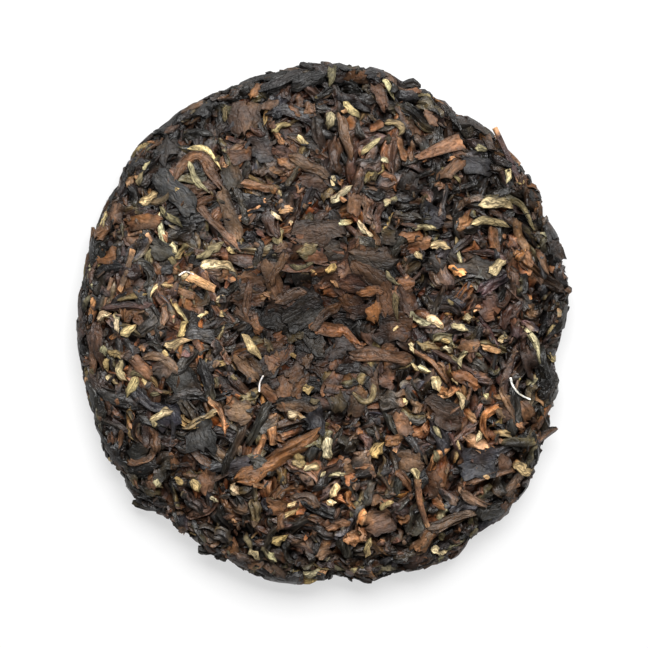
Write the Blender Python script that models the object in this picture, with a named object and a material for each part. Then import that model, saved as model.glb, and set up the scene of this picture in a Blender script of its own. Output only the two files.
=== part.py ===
"""Pressed oolong tea cake, lying with its dimpled face up.

A round, slightly uneven disc of whole tea leaves, steamed and pressed. Its upper face has the shallow dimple that
the knot of the pressing cloth leaves, its rim is rounded, and its underside is pressed flat in the middle, where
the cake rests. Every pressed leaf is a low ridge of the skin, and the leaves that show from a step away are fused
on as rolled strips, shards and stems.

Metres, +Z up. The origin is on the resting plane, under the middle of the cake's bounding box.
"""

import math
import random

import bmesh
import bpy
import numpy as np
from mathutils import Matrix, Vector
from mathutils.bvhtree import BVHTree
from mathutils.geometry import delaunay_2d_cdt
from mathutils.noise import noise

MM = 0.001

# Driving dimensions of the disc.
RADIUS = 100.0 * MM
SHOULDER_HEIGHT = 20.5 * MM  # top of the ring round the dimple
RIM_HEIGHT = 9.0 * MM  # height at which the rim reaches furthest out
SHOULDER_SHARE = 0.55  # where the shoulder ring lies, as a share of the rim radius
REST_SHARE = 0.45  # the flat that the cake rests on, as a share of the rim radius
DIMPLE_RADIUS = 36.0 * MM
DIMPLE_DEPTH = 6.0 * MM
UPPER_ROUNDING = 2.3  # exponent of the superellipse from shoulder to rim
LOWER_ROUNDING = 2.6  # exponent of the superellipse from the resting flat to rim
# The rim is uneven: its radius in millimetres every 15 degrees, anticlockwise from +X.
RIM_RADII_MM = (
    *(95.0, 97.5, 98.0, 99.0, 98.0, 100.5, 101.0, 99.5, 99.5, 100.0, 97.0, 96.0),
    *(95.5, 96.0, 99.0, 99.0, 101.0, 102.0, 101.5, 102.5, 104.0, 103.0, 99.0, 93.5),
)

# The skin: every small leaf is a ridge, with furrows between.
SEED = 7
RIM_POINTS = 96  # round the widest line
RIDGE_STEP = 4.2 * MM  # from the middle of a ridge to each end
RIDGE_SPACE = 3.7 * MM  # least distance between two ridges
FURROW_SPACE = 4.1 * MM  # least distance between two furrow points
CREST = 0.7 * MM  # how far ridges stand out
FURROW = 0.9 * MM  # how far furrows lie in
SWELL = 0.7 * MM  # how far the skin rises and falls over larger stretches
SWELL_LENGTH = 26.0 * MM

# The fused leaves.
LEAF_SINK = 2.0 * MM  # how deep a leaf's underside sits in the core
FLOOR_GAP = 0.1 * MM  # leaves and skin stay this far above the resting plane, outside the resting flat
GOLDEN_ANGLE = math.pi * (3 - math.sqrt(5))
UPPER_LEAVES = 22
RIM_LEAVES = 16
UNDER_LEAVES = 8
SPACE_ROUND_LARGE = 9.0 * MM  # leaves placed by rule keep this far from the middle of a large one

LEAF_COLOUR = (0.045, 0.028, 0.02, 1.0)
LEAF_ROUGHNESS = 0.62

# The largest leaves of the upper face, each where it lies on the cake, in millimetres and degrees: middle x and y,
# heading from +X, length, width and sideways bow.
LARGE_LEAVES_MM = (
    (-17, -51, 31, 36, 4.8, 1.5),  # long rolled leaf below the dimple
    (-46, 51, -62, 32, 4.6, 7.0),  # arched leaf, upper left
    (-41, 38, -46, 23, 2.6, 0.5),  # stem beside it
    (46, 69, 31, 20, 6.5, 0.0),  # flat pointed leaf, upper right
    (78, 31, -68, 19, 4.6, 1.0),
    (25, -13, -8, 30, 4.6, -1.5),  # rolled leaf at the dimple's edge
    (38, -69, -79, 23, 2.8, 1.0),  # stem, lower right
    (51, -79, 11, 20, 4.2, 1.0),
    (66, -61, 15, 21, 3.0, -1.0),
    (64, -71, -21, 21, 4.2, -1.5),
    (-89, -10, -83, 19, 5.6, 0.5),  # broad leaf at the left rim
    (-67, 6, 2, 22, 4.0, 2.0),
    (9, 52, -78, 22, 4.4, 1.0),
    (62, 44, -12, 20, 3.6, 3.0),
)
WIDEST_STEM_MM = 3.2  # a narrower large leaf is a stem

# Leaf ends that stand out from the rim: angle round the cake, height, lean from straight out, reach and width.
STRAY_ENDS_MM = (
    (44, 14, 66, 3.0, 4.4),
    (71, 11, -68, 1.4, 5.0),
    (97, 13, 62, 1.5, 4.6),
    (163, 9, -70, 1.4, 4.8),
    (224, 7, 52, 2.8, 5.4),
    (245, 10, -66, 1.8, 5.0),
    (274, 11, 64, 1.5, 5.2),
    (302, 8, -60, 2.0, 5.2),
    (331, 12, 66, 1.8, 4.4),
    (9, 12, -58, 2.4, 5.0),
)
STRAY_ROOT = 9.0 * MM  # length of a stray end that is held inside the cake
STRAY_THICKNESS = 2.6 * MM


def clear_scene():
    for thing in list(bpy.data.objects):
        bpy.data.objects.remove(thing, do_unlink=True)


def polar(radius, angle, height=0.0):
    return Vector((radius * math.cos(angle), radius * math.sin(angle), height))


def rim_radius(angle):
    """Radius of the rim at an angle, by a closed Catmull-Rom curve through RIM_RADII_MM."""
    count = len(RIM_RADII_MM)
    place = (angle / math.tau * count) % count
    index = int(place)
    u = place - index
    before, here, after, beyond = (RIM_RADII_MM[(index + k) % count] for k in (-1, 0, 1, 2))
    slope = (after - before) / 2
    next_slope = (beyond - here) / 2
    cubic = slope + next_slope - 2 * (after - here)
    square = 3 * (after - here) - 2 * slope - next_slope
    return (here + slope * u + square * u**2 + cubic * u**3) * MM


def upper_height(share):
    """Height of the smooth upper face at a share of the rim radius."""
    outward = min(1.0, max(0.0, (share - SHOULDER_SHARE) / (1 - SHOULDER_SHARE)))
    height = RIM_HEIGHT + (SHOULDER_HEIGHT - RIM_HEIGHT) * math.sqrt(1 - outward**UPPER_ROUNDING)
    dimple = min(1.0, share * RADIUS / DIMPLE_RADIUS)
    return height - DIMPLE_DEPTH * (1 + math.cos(math.pi * dimple)) / 2


def lower_height(share):
    """Height of the smooth underside at a share of the rim radius."""
    outward = min(1.0, max(0.0, (share - REST_SHARE) / (1 - REST_SHARE)))
    return RIM_HEIGHT * (1 - math.sqrt(1 - outward**LOWER_ROUNDING))


class Face:
    """One face of the cake, rolled out flat: a place on the flat map is an angle and an arc length of the section."""

    def __init__(self, height_of, inner_share):
        steps = 400
        # Steps crowd towards the rim, where the section turns upright.
        turns = [math.pi / 2 * k / steps for k in range(steps + 1)]
        self.shares = [inner_share + (1 - inner_share) * math.sin(turn) for turn in turns]
        self.heights = [height_of(share) for share in self.shares]
        sections = zip(np.diff(self.shares) * RADIUS, np.diff(self.heights))
        self.inner = inner_share * RADIUS
        self.arcs = np.cumsum([self.inner, *(math.hypot(*step) for step in sections)])
        self.outer = float(self.arcs[-1])

    def at(self, place, proud):
        """The point of the cake at a place of the flat map, standing proud of the smooth skin."""
        arc = place.length
        angle = math.atan2(place.y, place.x)
        share, height = (np.interp(arc, self.arcs, values) for values in (self.shares, self.heights))
        near, far = (
            (np.interp(arc + step, self.arcs, self.shares), np.interp(arc + step, self.arcs, self.heights))
            for step in (-MM, MM)
        )
        along_radius = (far[0] - near[0]) * RADIUS
        along_height = far[1] - near[1]
        upward = 1 if self.inner == 0 else -1
        steepness = math.hypot(along_radius, along_height)
        outwards = -upward * along_height / steepness * proud
        upwards = upward * along_radius / steepness * proud
        return polar(share * rim_radius(angle) + outwards, angle, height + upwards)


def spread(face, count, inner, outer):
    """Places on a face's flat map, even by the golden angle, from an inner to an outer arc length."""
    for k in range(count):
        arc = math.sqrt(inner**2 + (outer**2 - inner**2) * (k + 0.5) / count)
        yield Vector((arc * math.cos(k * GOLDEN_ANGLE), arc * math.sin(k * GOLDEN_ANGLE)))


def nearest(place, others):
    """Distance from a place to the nearest of the others."""
    if not others:
        return math.inf
    gaps = np.array(others) - np.array(place)
    return math.sqrt(float((gaps**2).sum(axis=1).min()))


def ridges(face, inner, draw):
    """The middle lines of the pressed leaves, each three places in a row on the flat map."""
    edge = face.outer - 0.6 * RIDGE_SPACE
    taken = []
    lines = []
    candidates = list(spread(face, 2600, inner, edge))
    draw.shuffle(candidates)
    for middle in candidates:
        around = math.atan2(middle.y, middle.x) + math.pi / 2
        # Towards the rim the leaves lie more and more round the cake.
        swing = math.pi / 2 * (1 - 0.75 * (middle.length / face.outer) ** 6)
        heading = around + draw.uniform(-swing, swing)
        step = Vector((math.cos(heading), math.sin(heading))) * RIDGE_STEP * draw.uniform(0.8, 1.0)
        line = [middle - step, middle, middle + step]
        inside = all(inner < place.length < edge for place in line)
        if inside and all(nearest(place, taken) > RIDGE_SPACE for place in line):
            taken += [tuple(place) for place in line]
            lines.append(line)
    return lines


def furrows(face, inner, lines, draw):
    """Places between the ridges."""
    crests = [tuple(place) for line in lines for place in line]
    edge = face.outer - 0.6 * RIDGE_SPACE
    taken = []
    candidates = list(spread(face, 9000, inner, edge))
    draw.shuffle(candidates)
    for place in candidates:
        if nearest(place, crests) > 0.75 * FURROW_SPACE and nearest(place, taken) > FURROW_SPACE:
            taken.append(tuple(place))
    return [Vector(place) for place in taken]


def swell(point):
    return SWELL * noise(point / SWELL_LENGTH)


def add_face(bm, face, rim_loop, inner_loop, draw):
    """Meshes one face between the rim and, on the underside, the loop round the resting flat."""
    inner = face.inner + 0.6 * FURROW_SPACE if inner_loop else 0.0
    turns = [math.tau * k / RIM_POINTS for k in range(RIM_POINTS)]
    flat_map = [Vector((math.cos(turn), math.sin(turn))) * face.outer for turn in turns]
    verts = list(rim_loop)
    edges = [(k, (k + 1) % RIM_POINTS) for k in range(RIM_POINTS)]
    if inner_loop:
        flat_map += [Vector((math.cos(turn), math.sin(turn))) * face.inner for turn in turns]
        verts += inner_loop
        edges += [(RIM_POINTS + k, RIM_POINTS + (k + 1) % RIM_POINTS) for k in range(RIM_POINTS)]

    def add_point(place, proud):
        smooth = face.at(place, 0.0)
        point = face.at(place, proud + swell(smooth))
        point.z = max(point.z, FLOOR_GAP)
        flat_map.append(place)
        verts.append(bm.verts.new(point))

    lines = ridges(face, inner, draw)
    for line in lines:
        first = len(verts)
        crest = CREST * draw.uniform(0.3, 1.5)
        for place, share in zip(line, (0.5, 1.0, 0.5)):
            add_point(place, crest * share * draw.uniform(0.7, 1.3))
        edges += [(first, first + 1), (first + 1, first + 2)]
    for place in furrows(face, inner, lines, draw):
        add_point(place, -FURROW * draw.uniform(0.4, 1.2))
    for triangle in delaunay_2d_cdt(flat_map, edges, [], 1, 1e-7, True)[2]:
        middle = sum((flat_map[index] for index in triangle), Vector((0, 0))) / len(triangle)
        if middle.length > face.inner * 0.999:
            bm.faces.new([verts[index] for index in triangle])


def make_core():
    """The bare disc with its skin of ridges, closed by the flat that it rests on."""
    draw = random.Random(SEED)
    bm = bmesh.new()
    turns = [math.tau * k / RIM_POINTS for k in range(RIM_POINTS)]
    rim_loop = [bm.verts.new(polar(rim_radius(turn), turn, RIM_HEIGHT)) for turn in turns]
    rest_loop = [bm.verts.new(polar(REST_SHARE * rim_radius(turn), turn)) for turn in turns]
    add_face(bm, Face(upper_height, 0.0), rim_loop, [], draw)
    add_face(bm, Face(lower_height, REST_SHARE), rim_loop, rest_loop, draw)
    bm.faces.new(rest_loop)
    bmesh.ops.recalc_face_normals(bm, faces=bm.faces)
    mesh = bpy.data.meshes.new("tea_cake")
    bm.to_mesh(mesh)
    bm.free()
    return mesh


def make_smooth_skin():
    """The smooth disc without ridges, which the fused leaves are laid on."""
    points = []
    sides = 72
    rings = 14
    sections = [(math.sin(math.pi / 2 * k / rings), upper_height) for k in range(rings + 1)]
    sections += [(math.sin(math.pi / 2 * k / rings), lower_height) for k in range(rings - 1, -1, -1)]
    for share, height_of in sections:
        for side in range(sides):
            angle = math.tau * side / sides
            points.append(polar(share * rim_radius(angle), angle, height_of(share)))
    faces = []
    for ring in range(len(sections) - 1):
        for side in range(sides):
            following = (side + 1) % sides
            near, far = ring * sides, (ring + 1) * sides
            faces.append((near + side, far + side, far + following, near + following))
    return BVHTree.FromPolygons(points, faces)


def basis(normal):
    """Two unit vectors square to a normal, the first as near +X as it can be."""
    across = Vector((0, 1, 0)) if abs(normal.y) < 0.9 else Vector((0, 0, 1))
    first = across.cross(normal).normalized()
    return first, normal.cross(first)


def follow_skin(skin, place, normal, heading, length, bow, stations):
    """A leaf's middle line laid on the skin: (position, skin normal, sideways direction) at each station."""
    first, second = basis(normal)
    along = first * math.cos(heading) + second * math.sin(heading)
    sideways = normal.cross(along)
    points = []
    for k in range(stations):
        u = 2 * k / (stations - 1) - 1
        target = place + along * (u * length / 2) + sideways * (bow * (1 - u * u))
        spot, face_normal, _, _ = skin.find_nearest(target)
        points.append((spot, face_normal.lerp(normal, 0.6).normalized()))
    line = []
    for k, (spot, up) in enumerate(points):
        ahead = points[min(k + 1, stations - 1)][0] - points[max(k - 1, 0)][0]
        line.append((spot, up, up.cross(ahead).normalized()))
    return line


def add_loft(name, line, sections, leaves):
    """A closed solid through one outline per station, each given as (sideways, up) points, capped at both ends."""
    bm = bmesh.new()
    loops = []
    for (spot, up, side), section in zip(line, sections):
        points = [spot + side * x + up * z for x, z in section]
        loops.append([bm.verts.new((p.x, p.y, max(p.z, FLOOR_GAP))) for p in points])
    count = len(loops[0])
    for near, far in zip(loops, loops[1:]):
        for k in range(count):
            following = (k + 1) % count
            bm.faces.new((near[k], near[following], far[following], far[k]))
    bm.faces.new(reversed(loops[0]))
    bm.faces.new(loops[-1])
    bmesh.ops.triangulate(bm, faces=bm.faces)
    bmesh.ops.recalc_face_normals(bm, faces=bm.faces)
    mesh = bpy.data.meshes.new(name)
    bm.to_mesh(mesh)
    bm.free()
    leaves.objects.link(bpy.data.objects.new(name, mesh))


def add_rolled_leaf(line, width, draw, leaves):
    """A leaf rolled lengthwise: an arched strip that narrows to both ends."""
    proud = width * draw.uniform(0.34, 0.46)
    lean = draw.uniform(-0.3, 0.3)
    sections = []
    for k in range(len(line)):
        share = 0.4 + 0.6 * math.sin(math.pi * (0.12 + 0.8 * k / (len(line) - 1)))
        half = width / 2 * share * draw.uniform(0.88, 1.1)
        rise = proud * share * draw.uniform(0.8, 1.15)
        crest = half * lean
        sections.append(
            [(-half, -LEAF_SINK), (crest - 0.3 * half, rise), (crest + 0.3 * half, rise), (half, -LEAF_SINK)]
        )
    add_loft("rolled_leaf", line, sections, leaves)


def add_stem(line, width, draw, leaves):
    """A piece of stalk: a straight rod, half sunk, cut square at its ends."""
    sections = []
    for _ in line:
        half = width / 2 * draw.uniform(0.9, 1.1)
        corners = [math.tau * (k + 0.25) / 5 for k in range(5)]
        sections.append([(half * math.cos(a), half * (0.5 + math.sin(a))) for a in corners])
    add_loft("stem", line, sections, leaves)


def add_shard(line, width, draw, leaves):
    """A flat piece of broken leaf, bent over its midrib: a wavy plate whose edges stand out unevenly."""
    tilt = draw.uniform(-0.5, 0.5) * MM
    middle = draw.uniform(-0.3, 0.3)
    sections = []
    for share in (0.55, 1.0, 0.85, 0.35):
        half = width / 2 * share * draw.uniform(0.85, 1.12)
        rise = draw.uniform(0.9, 1.3) * MM
        top = [(-half, rise + tilt), (middle * half, rise + 0.4 * MM), (half, rise - tilt)]
        sections.append([(-half, -LEAF_SINK), *top, (half, -LEAF_SINK)])
    add_loft("shard", line, sections, leaves)


def upper_spots(skin):
    """Evenly spread places on the upper face, by the golden angle: (place, normal)."""
    for k in range(UPPER_LEAVES):
        angle = k * GOLDEN_ANGLE
        radius = math.sqrt((k + 0.6) / UPPER_LEAVES) * 0.93 * rim_radius(angle)
        yield skin.ray_cast(polar(radius, angle, 1.0), Vector((0, 0, -1)))[:2]


def rim_spots(skin):
    """Places round the rim at changing heights."""
    for k in range(RIM_LEAVES):
        angle = math.tau * k / RIM_LEAVES
        height = RIM_HEIGHT * (0.8 + 0.5 * math.sin(2.4 * k))
        yield skin.ray_cast(polar(2 * rim_radius(angle), angle, height), -polar(1.0, angle))[:2]


def under_spots(skin):
    """Places on the underside, outside the flat that the cake rests on."""
    inner = (REST_SHARE + 0.25) ** 2
    outer = 0.9**2
    for k in range(UNDER_LEAVES):
        angle = k * GOLDEN_ANGLE
        share = math.sqrt(inner + (outer - inner) * (k + 0.5) / UNDER_LEAVES)
        yield skin.ray_cast(polar(share * rim_radius(angle), angle, -1.0), Vector((0, 0, 1)))[:2]


def clear_of_large(spot):
    return all((spot.xy - Vector(large[:2]) * MM).length > SPACE_ROUND_LARGE for large in LARGE_LEAVES_MM)


def heading_of(direction, normal):
    """The angle of a direction in the skin's own two axes at a spot."""
    first, second = basis(normal)
    return math.atan2(direction.dot(second), direction.dot(first))


def add_large_leaves(skin, draw, leaves):
    """The leaves of the upper face that have a place of their own."""
    for x, y, heading, length, width, bow in LARGE_LEAVES_MM:
        spot, normal, _, _ = skin.ray_cast(Vector((x * MM, y * MM, 1.0)), Vector((0, 0, -1)))
        up = Vector((0, 0, 1)).lerp(normal, 0.5).normalized()
        turn = heading_of(polar(1.0, math.radians(heading)), up)
        line = follow_skin(skin, spot, up, turn, length * MM, bow * MM, 6)
        maker = add_stem if width < WIDEST_STEM_MM else add_rolled_leaf
        maker(line, width * MM, draw, leaves)


def add_stray_ends(draw, leaves):
    """Leaf ends that stand out from the rim: flattened strips that narrow to the tip, held by their roots."""
    for degrees, height, lean, reach, width in STRAY_ENDS_MM:
        angle = math.radians(degrees)
        direction = polar(1.0, angle + math.radians(lean), draw.uniform(-0.15, 0.15))
        stretch = (reach + 2) * MM / math.cos(math.radians(lean))
        leave = polar(rim_radius(angle) - 2 * MM, angle, height * MM)
        spots = (leave - direction * STRAY_ROOT, leave, leave + direction * stretch * 0.6, leave + direction * stretch)
        up = Vector((0, 0, 1)).lerp(polar(1.0, angle), draw.uniform(0.2, 0.6)).normalized()
        side = up.cross(direction).normalized()
        sections = []
        for share in (0.9, 1.0, 0.8, 0.3):
            half = width * MM / 2 * share
            rise = STRAY_THICKNESS / 2 * (0.4 + 0.6 * share)
            sections.append([(-half, 0.0), (-0.3 * half, rise), (0.5 * half, 0.7 * rise), (half, 0.0), (0.0, -rise)])
        add_loft("stray_end", [(spot, up, side) for spot in spots], sections, leaves)


def add_small_leaves(skin, draw, leaves):
    """The leaves that are placed by rule, all over."""
    spots = [spot for spot in upper_spots(skin) if clear_of_large(spot[0])]
    for spot, normal in (*spots, *rim_spots(skin), *under_spots(skin)):
        heading = draw.uniform(0, math.pi)
        if abs(normal.z) < 0.6:
            around = polar(1.0, math.atan2(spot.y, spot.x) + math.pi / 2)
            heading = heading_of(around, normal) + draw.uniform(-0.4, 0.4)
        kind = draw.random()
        length = draw.uniform(13, 22) * MM
        bow = draw.uniform(-0.12, 0.12) * length
        if kind < 0.5:
            line = follow_skin(skin, spot, normal, heading, length, bow, 4)
            add_rolled_leaf(line, draw.uniform(4.0, 5.6) * MM, draw, leaves)
        elif kind < 0.88:
            line = follow_skin(skin, spot, normal, heading, 0.75 * length, 0.0, 4)
            add_shard(line, draw.uniform(6.5, 9.5) * MM, draw, leaves)
        else:
            line = follow_skin(skin, spot, normal, heading, length, 0.3 * bow, 3)
            add_stem(line, draw.uniform(2.3, 3.0) * MM, draw, leaves)


def keep_outer_body(mesh):
    """Drops every loose scrap and fills every sealed pocket: all connected parts but the one with most points."""
    bm = bmesh.new()
    bm.from_mesh(mesh)
    unseen = set(bm.verts)
    parts = []
    while unseen:
        stack = [unseen.pop()]
        part = []
        while stack:
            vert = stack.pop()
            part.append(vert)
            found = {edge.other_vert(vert) for edge in vert.link_edges} & unseen
            unseen -= found
            stack.extend(found)
        parts.append(part)
    parts.sort(key=len)
    for part in parts[:-1]:
        bmesh.ops.delete(bm, geom=part, context="VERTS")
    bm.to_mesh(mesh)
    bm.free()


def fuse(core, leaves):
    """One union of the core with every leaf in the collection, applied, and the leaves then removed."""
    union = core.modifiers.new("fuse_leaves", "BOOLEAN")
    union.operation = "UNION"
    union.operand_type = "COLLECTION"
    union.collection = leaves
    union.solver = "MANIFOLD"
    graph = bpy.context.evaluated_depsgraph_get()
    fused = bpy.data.meshes.new_from_object(core.evaluated_get(graph))
    core.modifiers.clear()
    core.data = fused
    for leaf in list(leaves.objects):
        bpy.data.objects.remove(leaf, do_unlink=True)
    bpy.data.collections.remove(leaves)
    keep_outer_body(core.data)


def centre_on_origin(mesh):
    """Moves the mesh so that the middle of its bounding box is over the origin."""
    xs, ys, _ = zip(*(vert.co for vert in mesh.vertices))
    mesh.transform(Matrix.Translation((-(min(xs) + max(xs)) / 2, -(min(ys) + max(ys)) / 2, 0.0)))


def leaf_material():
    material = bpy.data.materials.new("pressed_tea_leaf")
    material.use_nodes = True
    shader = material.node_tree.nodes["Principled BSDF"]
    shader.inputs["Base Color"].default_value = LEAF_COLOUR
    shader.inputs["Roughness"].default_value = LEAF_ROUGHNESS
    shader.inputs["Metallic"].default_value = 0.0
    return material


def main():
    clear_scene()
    cake = bpy.data.objects.new("tea_cake", make_core())
    bpy.context.scene.collection.objects.link(cake)
    leaves = bpy.data.collections.new("leaves")
    bpy.context.scene.collection.children.link(leaves)
    skin = make_smooth_skin()
    draw = random.Random(SEED)
    add_large_leaves(skin, draw, leaves)
    add_stray_ends(draw, leaves)
    add_small_leaves(skin, draw, leaves)
    fuse(cake, leaves)
    centre_on_origin(cake.data)
    cake.data.materials.clear()
    cake.data.materials.append(leaf_material())
    cake.data.shade_smooth()
    cake.data.set_sharp_from_angle(angle=math.radians(15))


main()
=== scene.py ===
"""The looks of the pressed oolong tea cake, which lies flat with its dimpled face up.

The cake is a heap of whole tea leaves, pressed round. Each face is rolled out to a flat map. Rolled leaves,
flakes, stalks, buds and crumbs are dropped on it one after another. Each lies on what is there already,
bends over it and raises the pile. The pile is then pressed to the cake's section and laid round the disc.
A dark core fills the inside, near black with painted shade of the deep gaps between the leaves.

Sizes are in millimetres and turns in radians until a mesh is made, in metres. Lists that go round the cake
give their angles in degrees. Only the floor, the light and the camera are in metres throughout.
"""

import math
from collections import namedtuple

import bpy
import numpy as np
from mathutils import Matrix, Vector


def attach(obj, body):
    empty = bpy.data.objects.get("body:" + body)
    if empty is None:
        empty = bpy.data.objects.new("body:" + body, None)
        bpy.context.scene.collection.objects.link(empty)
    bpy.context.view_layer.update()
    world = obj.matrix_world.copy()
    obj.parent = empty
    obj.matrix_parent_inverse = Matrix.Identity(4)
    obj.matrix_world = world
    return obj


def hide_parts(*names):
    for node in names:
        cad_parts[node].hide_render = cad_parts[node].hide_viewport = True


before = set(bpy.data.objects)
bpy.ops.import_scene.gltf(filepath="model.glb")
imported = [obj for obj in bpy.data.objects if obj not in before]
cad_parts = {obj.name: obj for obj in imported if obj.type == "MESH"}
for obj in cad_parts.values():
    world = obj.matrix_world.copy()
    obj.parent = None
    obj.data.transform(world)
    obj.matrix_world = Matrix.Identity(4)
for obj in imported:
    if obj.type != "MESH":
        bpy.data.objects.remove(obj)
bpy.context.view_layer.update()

NODE = "tea_cake"
BODY = "root"
MM = 0.001

# ---------------------------------------------------------------- the disc, as in the CAD solid
RADIUS = 100.0
SHOULDER_HEIGHT = 20.5  # top of the ring round the dimple
RIM_HEIGHT = 9.0  # height at which the rim reaches furthest out
SHOULDER_SHARE = 0.55  # where the shoulder ring lies, as a share of the rim radius
REST_SHARE = 0.45  # the flat that the cake rests on, as a share of the rim radius
DIMPLE_RADIUS = 36.0
DIMPLE_DEPTH = 6.0
UPPER_ROUNDING = 2.3
LOWER_ROUNDING = 2.6
# The rim is uneven: its radius every 15 degrees, anticlockwise from +X.
RIM_RADII = (
    *(95.0, 97.5, 98.0, 99.0, 98.0, 100.5, 101.0, 99.5, 99.5, 100.0, 97.0, 96.0),
    *(95.5, 96.0, 99.0, 99.0, 101.0, 102.0, 101.5, 102.5, 104.0, 103.0, 99.0, 93.5),
)
# The frame's origin is under the middle of the bounding box, and the disc's middle is here.
DISC_MIDDLE = (-1.3, 0.1)
RIM_INSET = 0.6  # how far the leaves' smooth section keeps inside the rim
# Where the outline is dented, or bulges where the depth is below 0: angle, half width in degrees, and depth.
DENTS = (
    *((24, 5, 1.9), (44, 4.5, 1.3), (57, 4, 1.0), (71, 3, 1.6), (95, 9, -0.6), (129, 3, 0.9)),
    *((146, 3, 0.8), (138, 20, -0.4), (183, 14, -1.0), (214, 10, -0.5), (207, 2.5, 1.0), (216, 2.5, 1.0)),
    *((223, 4, -1.2), (232.5, 4, 2.4), (240, 3, 2.4), (249, 6, 1.0), (273, 2.5, 3.2), (279, 2, 1.0)),
    *((287, 5, 0.9), (308, 4, 2.0), (318, 2.5, 0.6), (345, 3, -1.6), (353, 6, 3.0)),
)
OVERLAP = 13.0  # how far each face's map runs on past the rim
SECTION_STEPS = 1600  # along the section, from one face's middle over the rim to the other's
MAP_STEPS = 1200  # along a face's map, out from its middle
MAP_MARGIN = 40.0  # how far the map's table runs on, for the points of leaves that lie over its edge
FLOOR_GAP = 0.06  # the lowest leaves are pressed flat this far above the floor
FLOOR_SOFTNESS = 0.15

# ---------------------------------------------------------------- the pile
SEED = 11
CELL = 0.5  # of the pile's height map
PILE_MARGIN = 30.0  # how far the height map runs on past the face's map
GROUND_WAVES = ((1.5, 1.4), (4.0, 1.6))  # widths and heights of the waves in the ground under the leaves
CAP = 1.0  # the press stops leaves this far above the smooth section
CAP_SOFTNESS = 0.5
LEVEL = -0.6  # where the pile's mean top lies, from the smooth section
# How rough the pressing leaves the cake, by the distance from its middle and by the angle: it is smoother in
# the middle and on the left side than round the rest of the rim.
ROUGH_BY_ARC = ((0.0, 0.7), (28.0, 0.8), (45.0, 1.05), (86.0, 1.1), (98.0, 1.5), (125.0, 1.7))
ROUGH_BY_ANGLE = (
    *((0, 1.1), (60, 1.05), (100, 0.85), (130, 0.7)),
    *((200, 0.72), (222, 1.0), (270, 1.15), (360, 1.1)),
)
ROUGH_SIDE_FROM = 60.0  # the angle counts in full from this far out
LEVEL_BLUR = 9.0  # the pressing evens out what is wider than this
HIDDEN_BY = 0.3  # a point of a leaf that is this far under the top of the pile is hidden
SHOWN_SHARE = 0.03  # a leaf is kept where more than this share of its points show

# ---------------------------------------------------------------- the photograph
PHOTO_SIZE = 648
PHOTO_PIXEL = 0.394  # the size of one pixel on the cake
PHOTO_MIDDLE = (322.5, 322.0)  # the cake's middle, in pixels


def srgb(red, green, blue):
    """A colour's linear values from its 8-bit ones, by the curved part of the sRGB formula."""
    return np.array([(value / 255 / 1.055 + 0.0521327) ** 2.4 for value in (red, green, blue)])


PALETTE = {
    "black": srgb(34, 31, 29),
    "charcoal": srgb(55, 52, 50),
    "slate": srgb(66, 64, 62),
    "umber": srgb(75, 58, 50),
    "brown": srgb(106, 83, 65),
    "red_brown": srgb(119, 86, 62),
    "rust": srgb(143, 101, 68),
    "tan": srgb(198, 152, 111),
    "olive": srgb(122, 110, 80),
    "gold": srgb(203, 177, 124),
    "pale": srgb(200, 187, 144),
    "cream": srgb(222, 200, 154),
    "white": srgb(250, 248, 243),
}


def rim_radius(angle):
    """Radius of the rim at an angle, by a closed Catmull-Rom curve through RIM_RADII."""
    radii = np.array(RIM_RADII)
    count = len(radii)
    place = (angle / math.tau * count) % count
    index = place.astype(int)
    u = place - index
    before, here, after, beyond = (radii[(index + k) % count] for k in (-1, 0, 1, 2))
    slope = (after - before) / 2
    next_slope = (beyond - here) / 2
    cubic = slope + next_slope - 2 * (after - here)
    square = 3 * (after - here) - 2 * slope - next_slope
    return here + slope * u + square * u**2 + cubic * u**3


def dent_depth(angle):
    """How deep the outline is dented at an angle."""
    degrees = np.degrees(angle)
    dents = []
    for place, width, depth in DENTS:
        away = (degrees - place + 180) % 360 - 180
        dents.append(depth * np.exp(-((away / width) ** 2)))
    return sum(dents)


def upper_height(share):
    """Height of the face with the dimple, at a share of the rim's radius."""
    outward = np.clip((share - SHOULDER_SHARE) / (1 - SHOULDER_SHARE), 0, 1)
    height = RIM_HEIGHT + (SHOULDER_HEIGHT - RIM_HEIGHT) * np.sqrt(1 - outward**UPPER_ROUNDING)
    dimple = np.clip(share * RADIUS / DIMPLE_RADIUS, 0, 1)
    return height - DIMPLE_DEPTH * (1 + np.cos(math.pi * dimple)) / 2


def lower_height(share):
    """Height of the face that the cake rests on, at a share of the rim's radius."""
    outward = np.clip((share - REST_SHARE) / (1 - REST_SHARE), 0, 1)
    return RIM_HEIGHT * (1 - np.sqrt(1 - outward**LOWER_ROUNDING))


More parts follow.
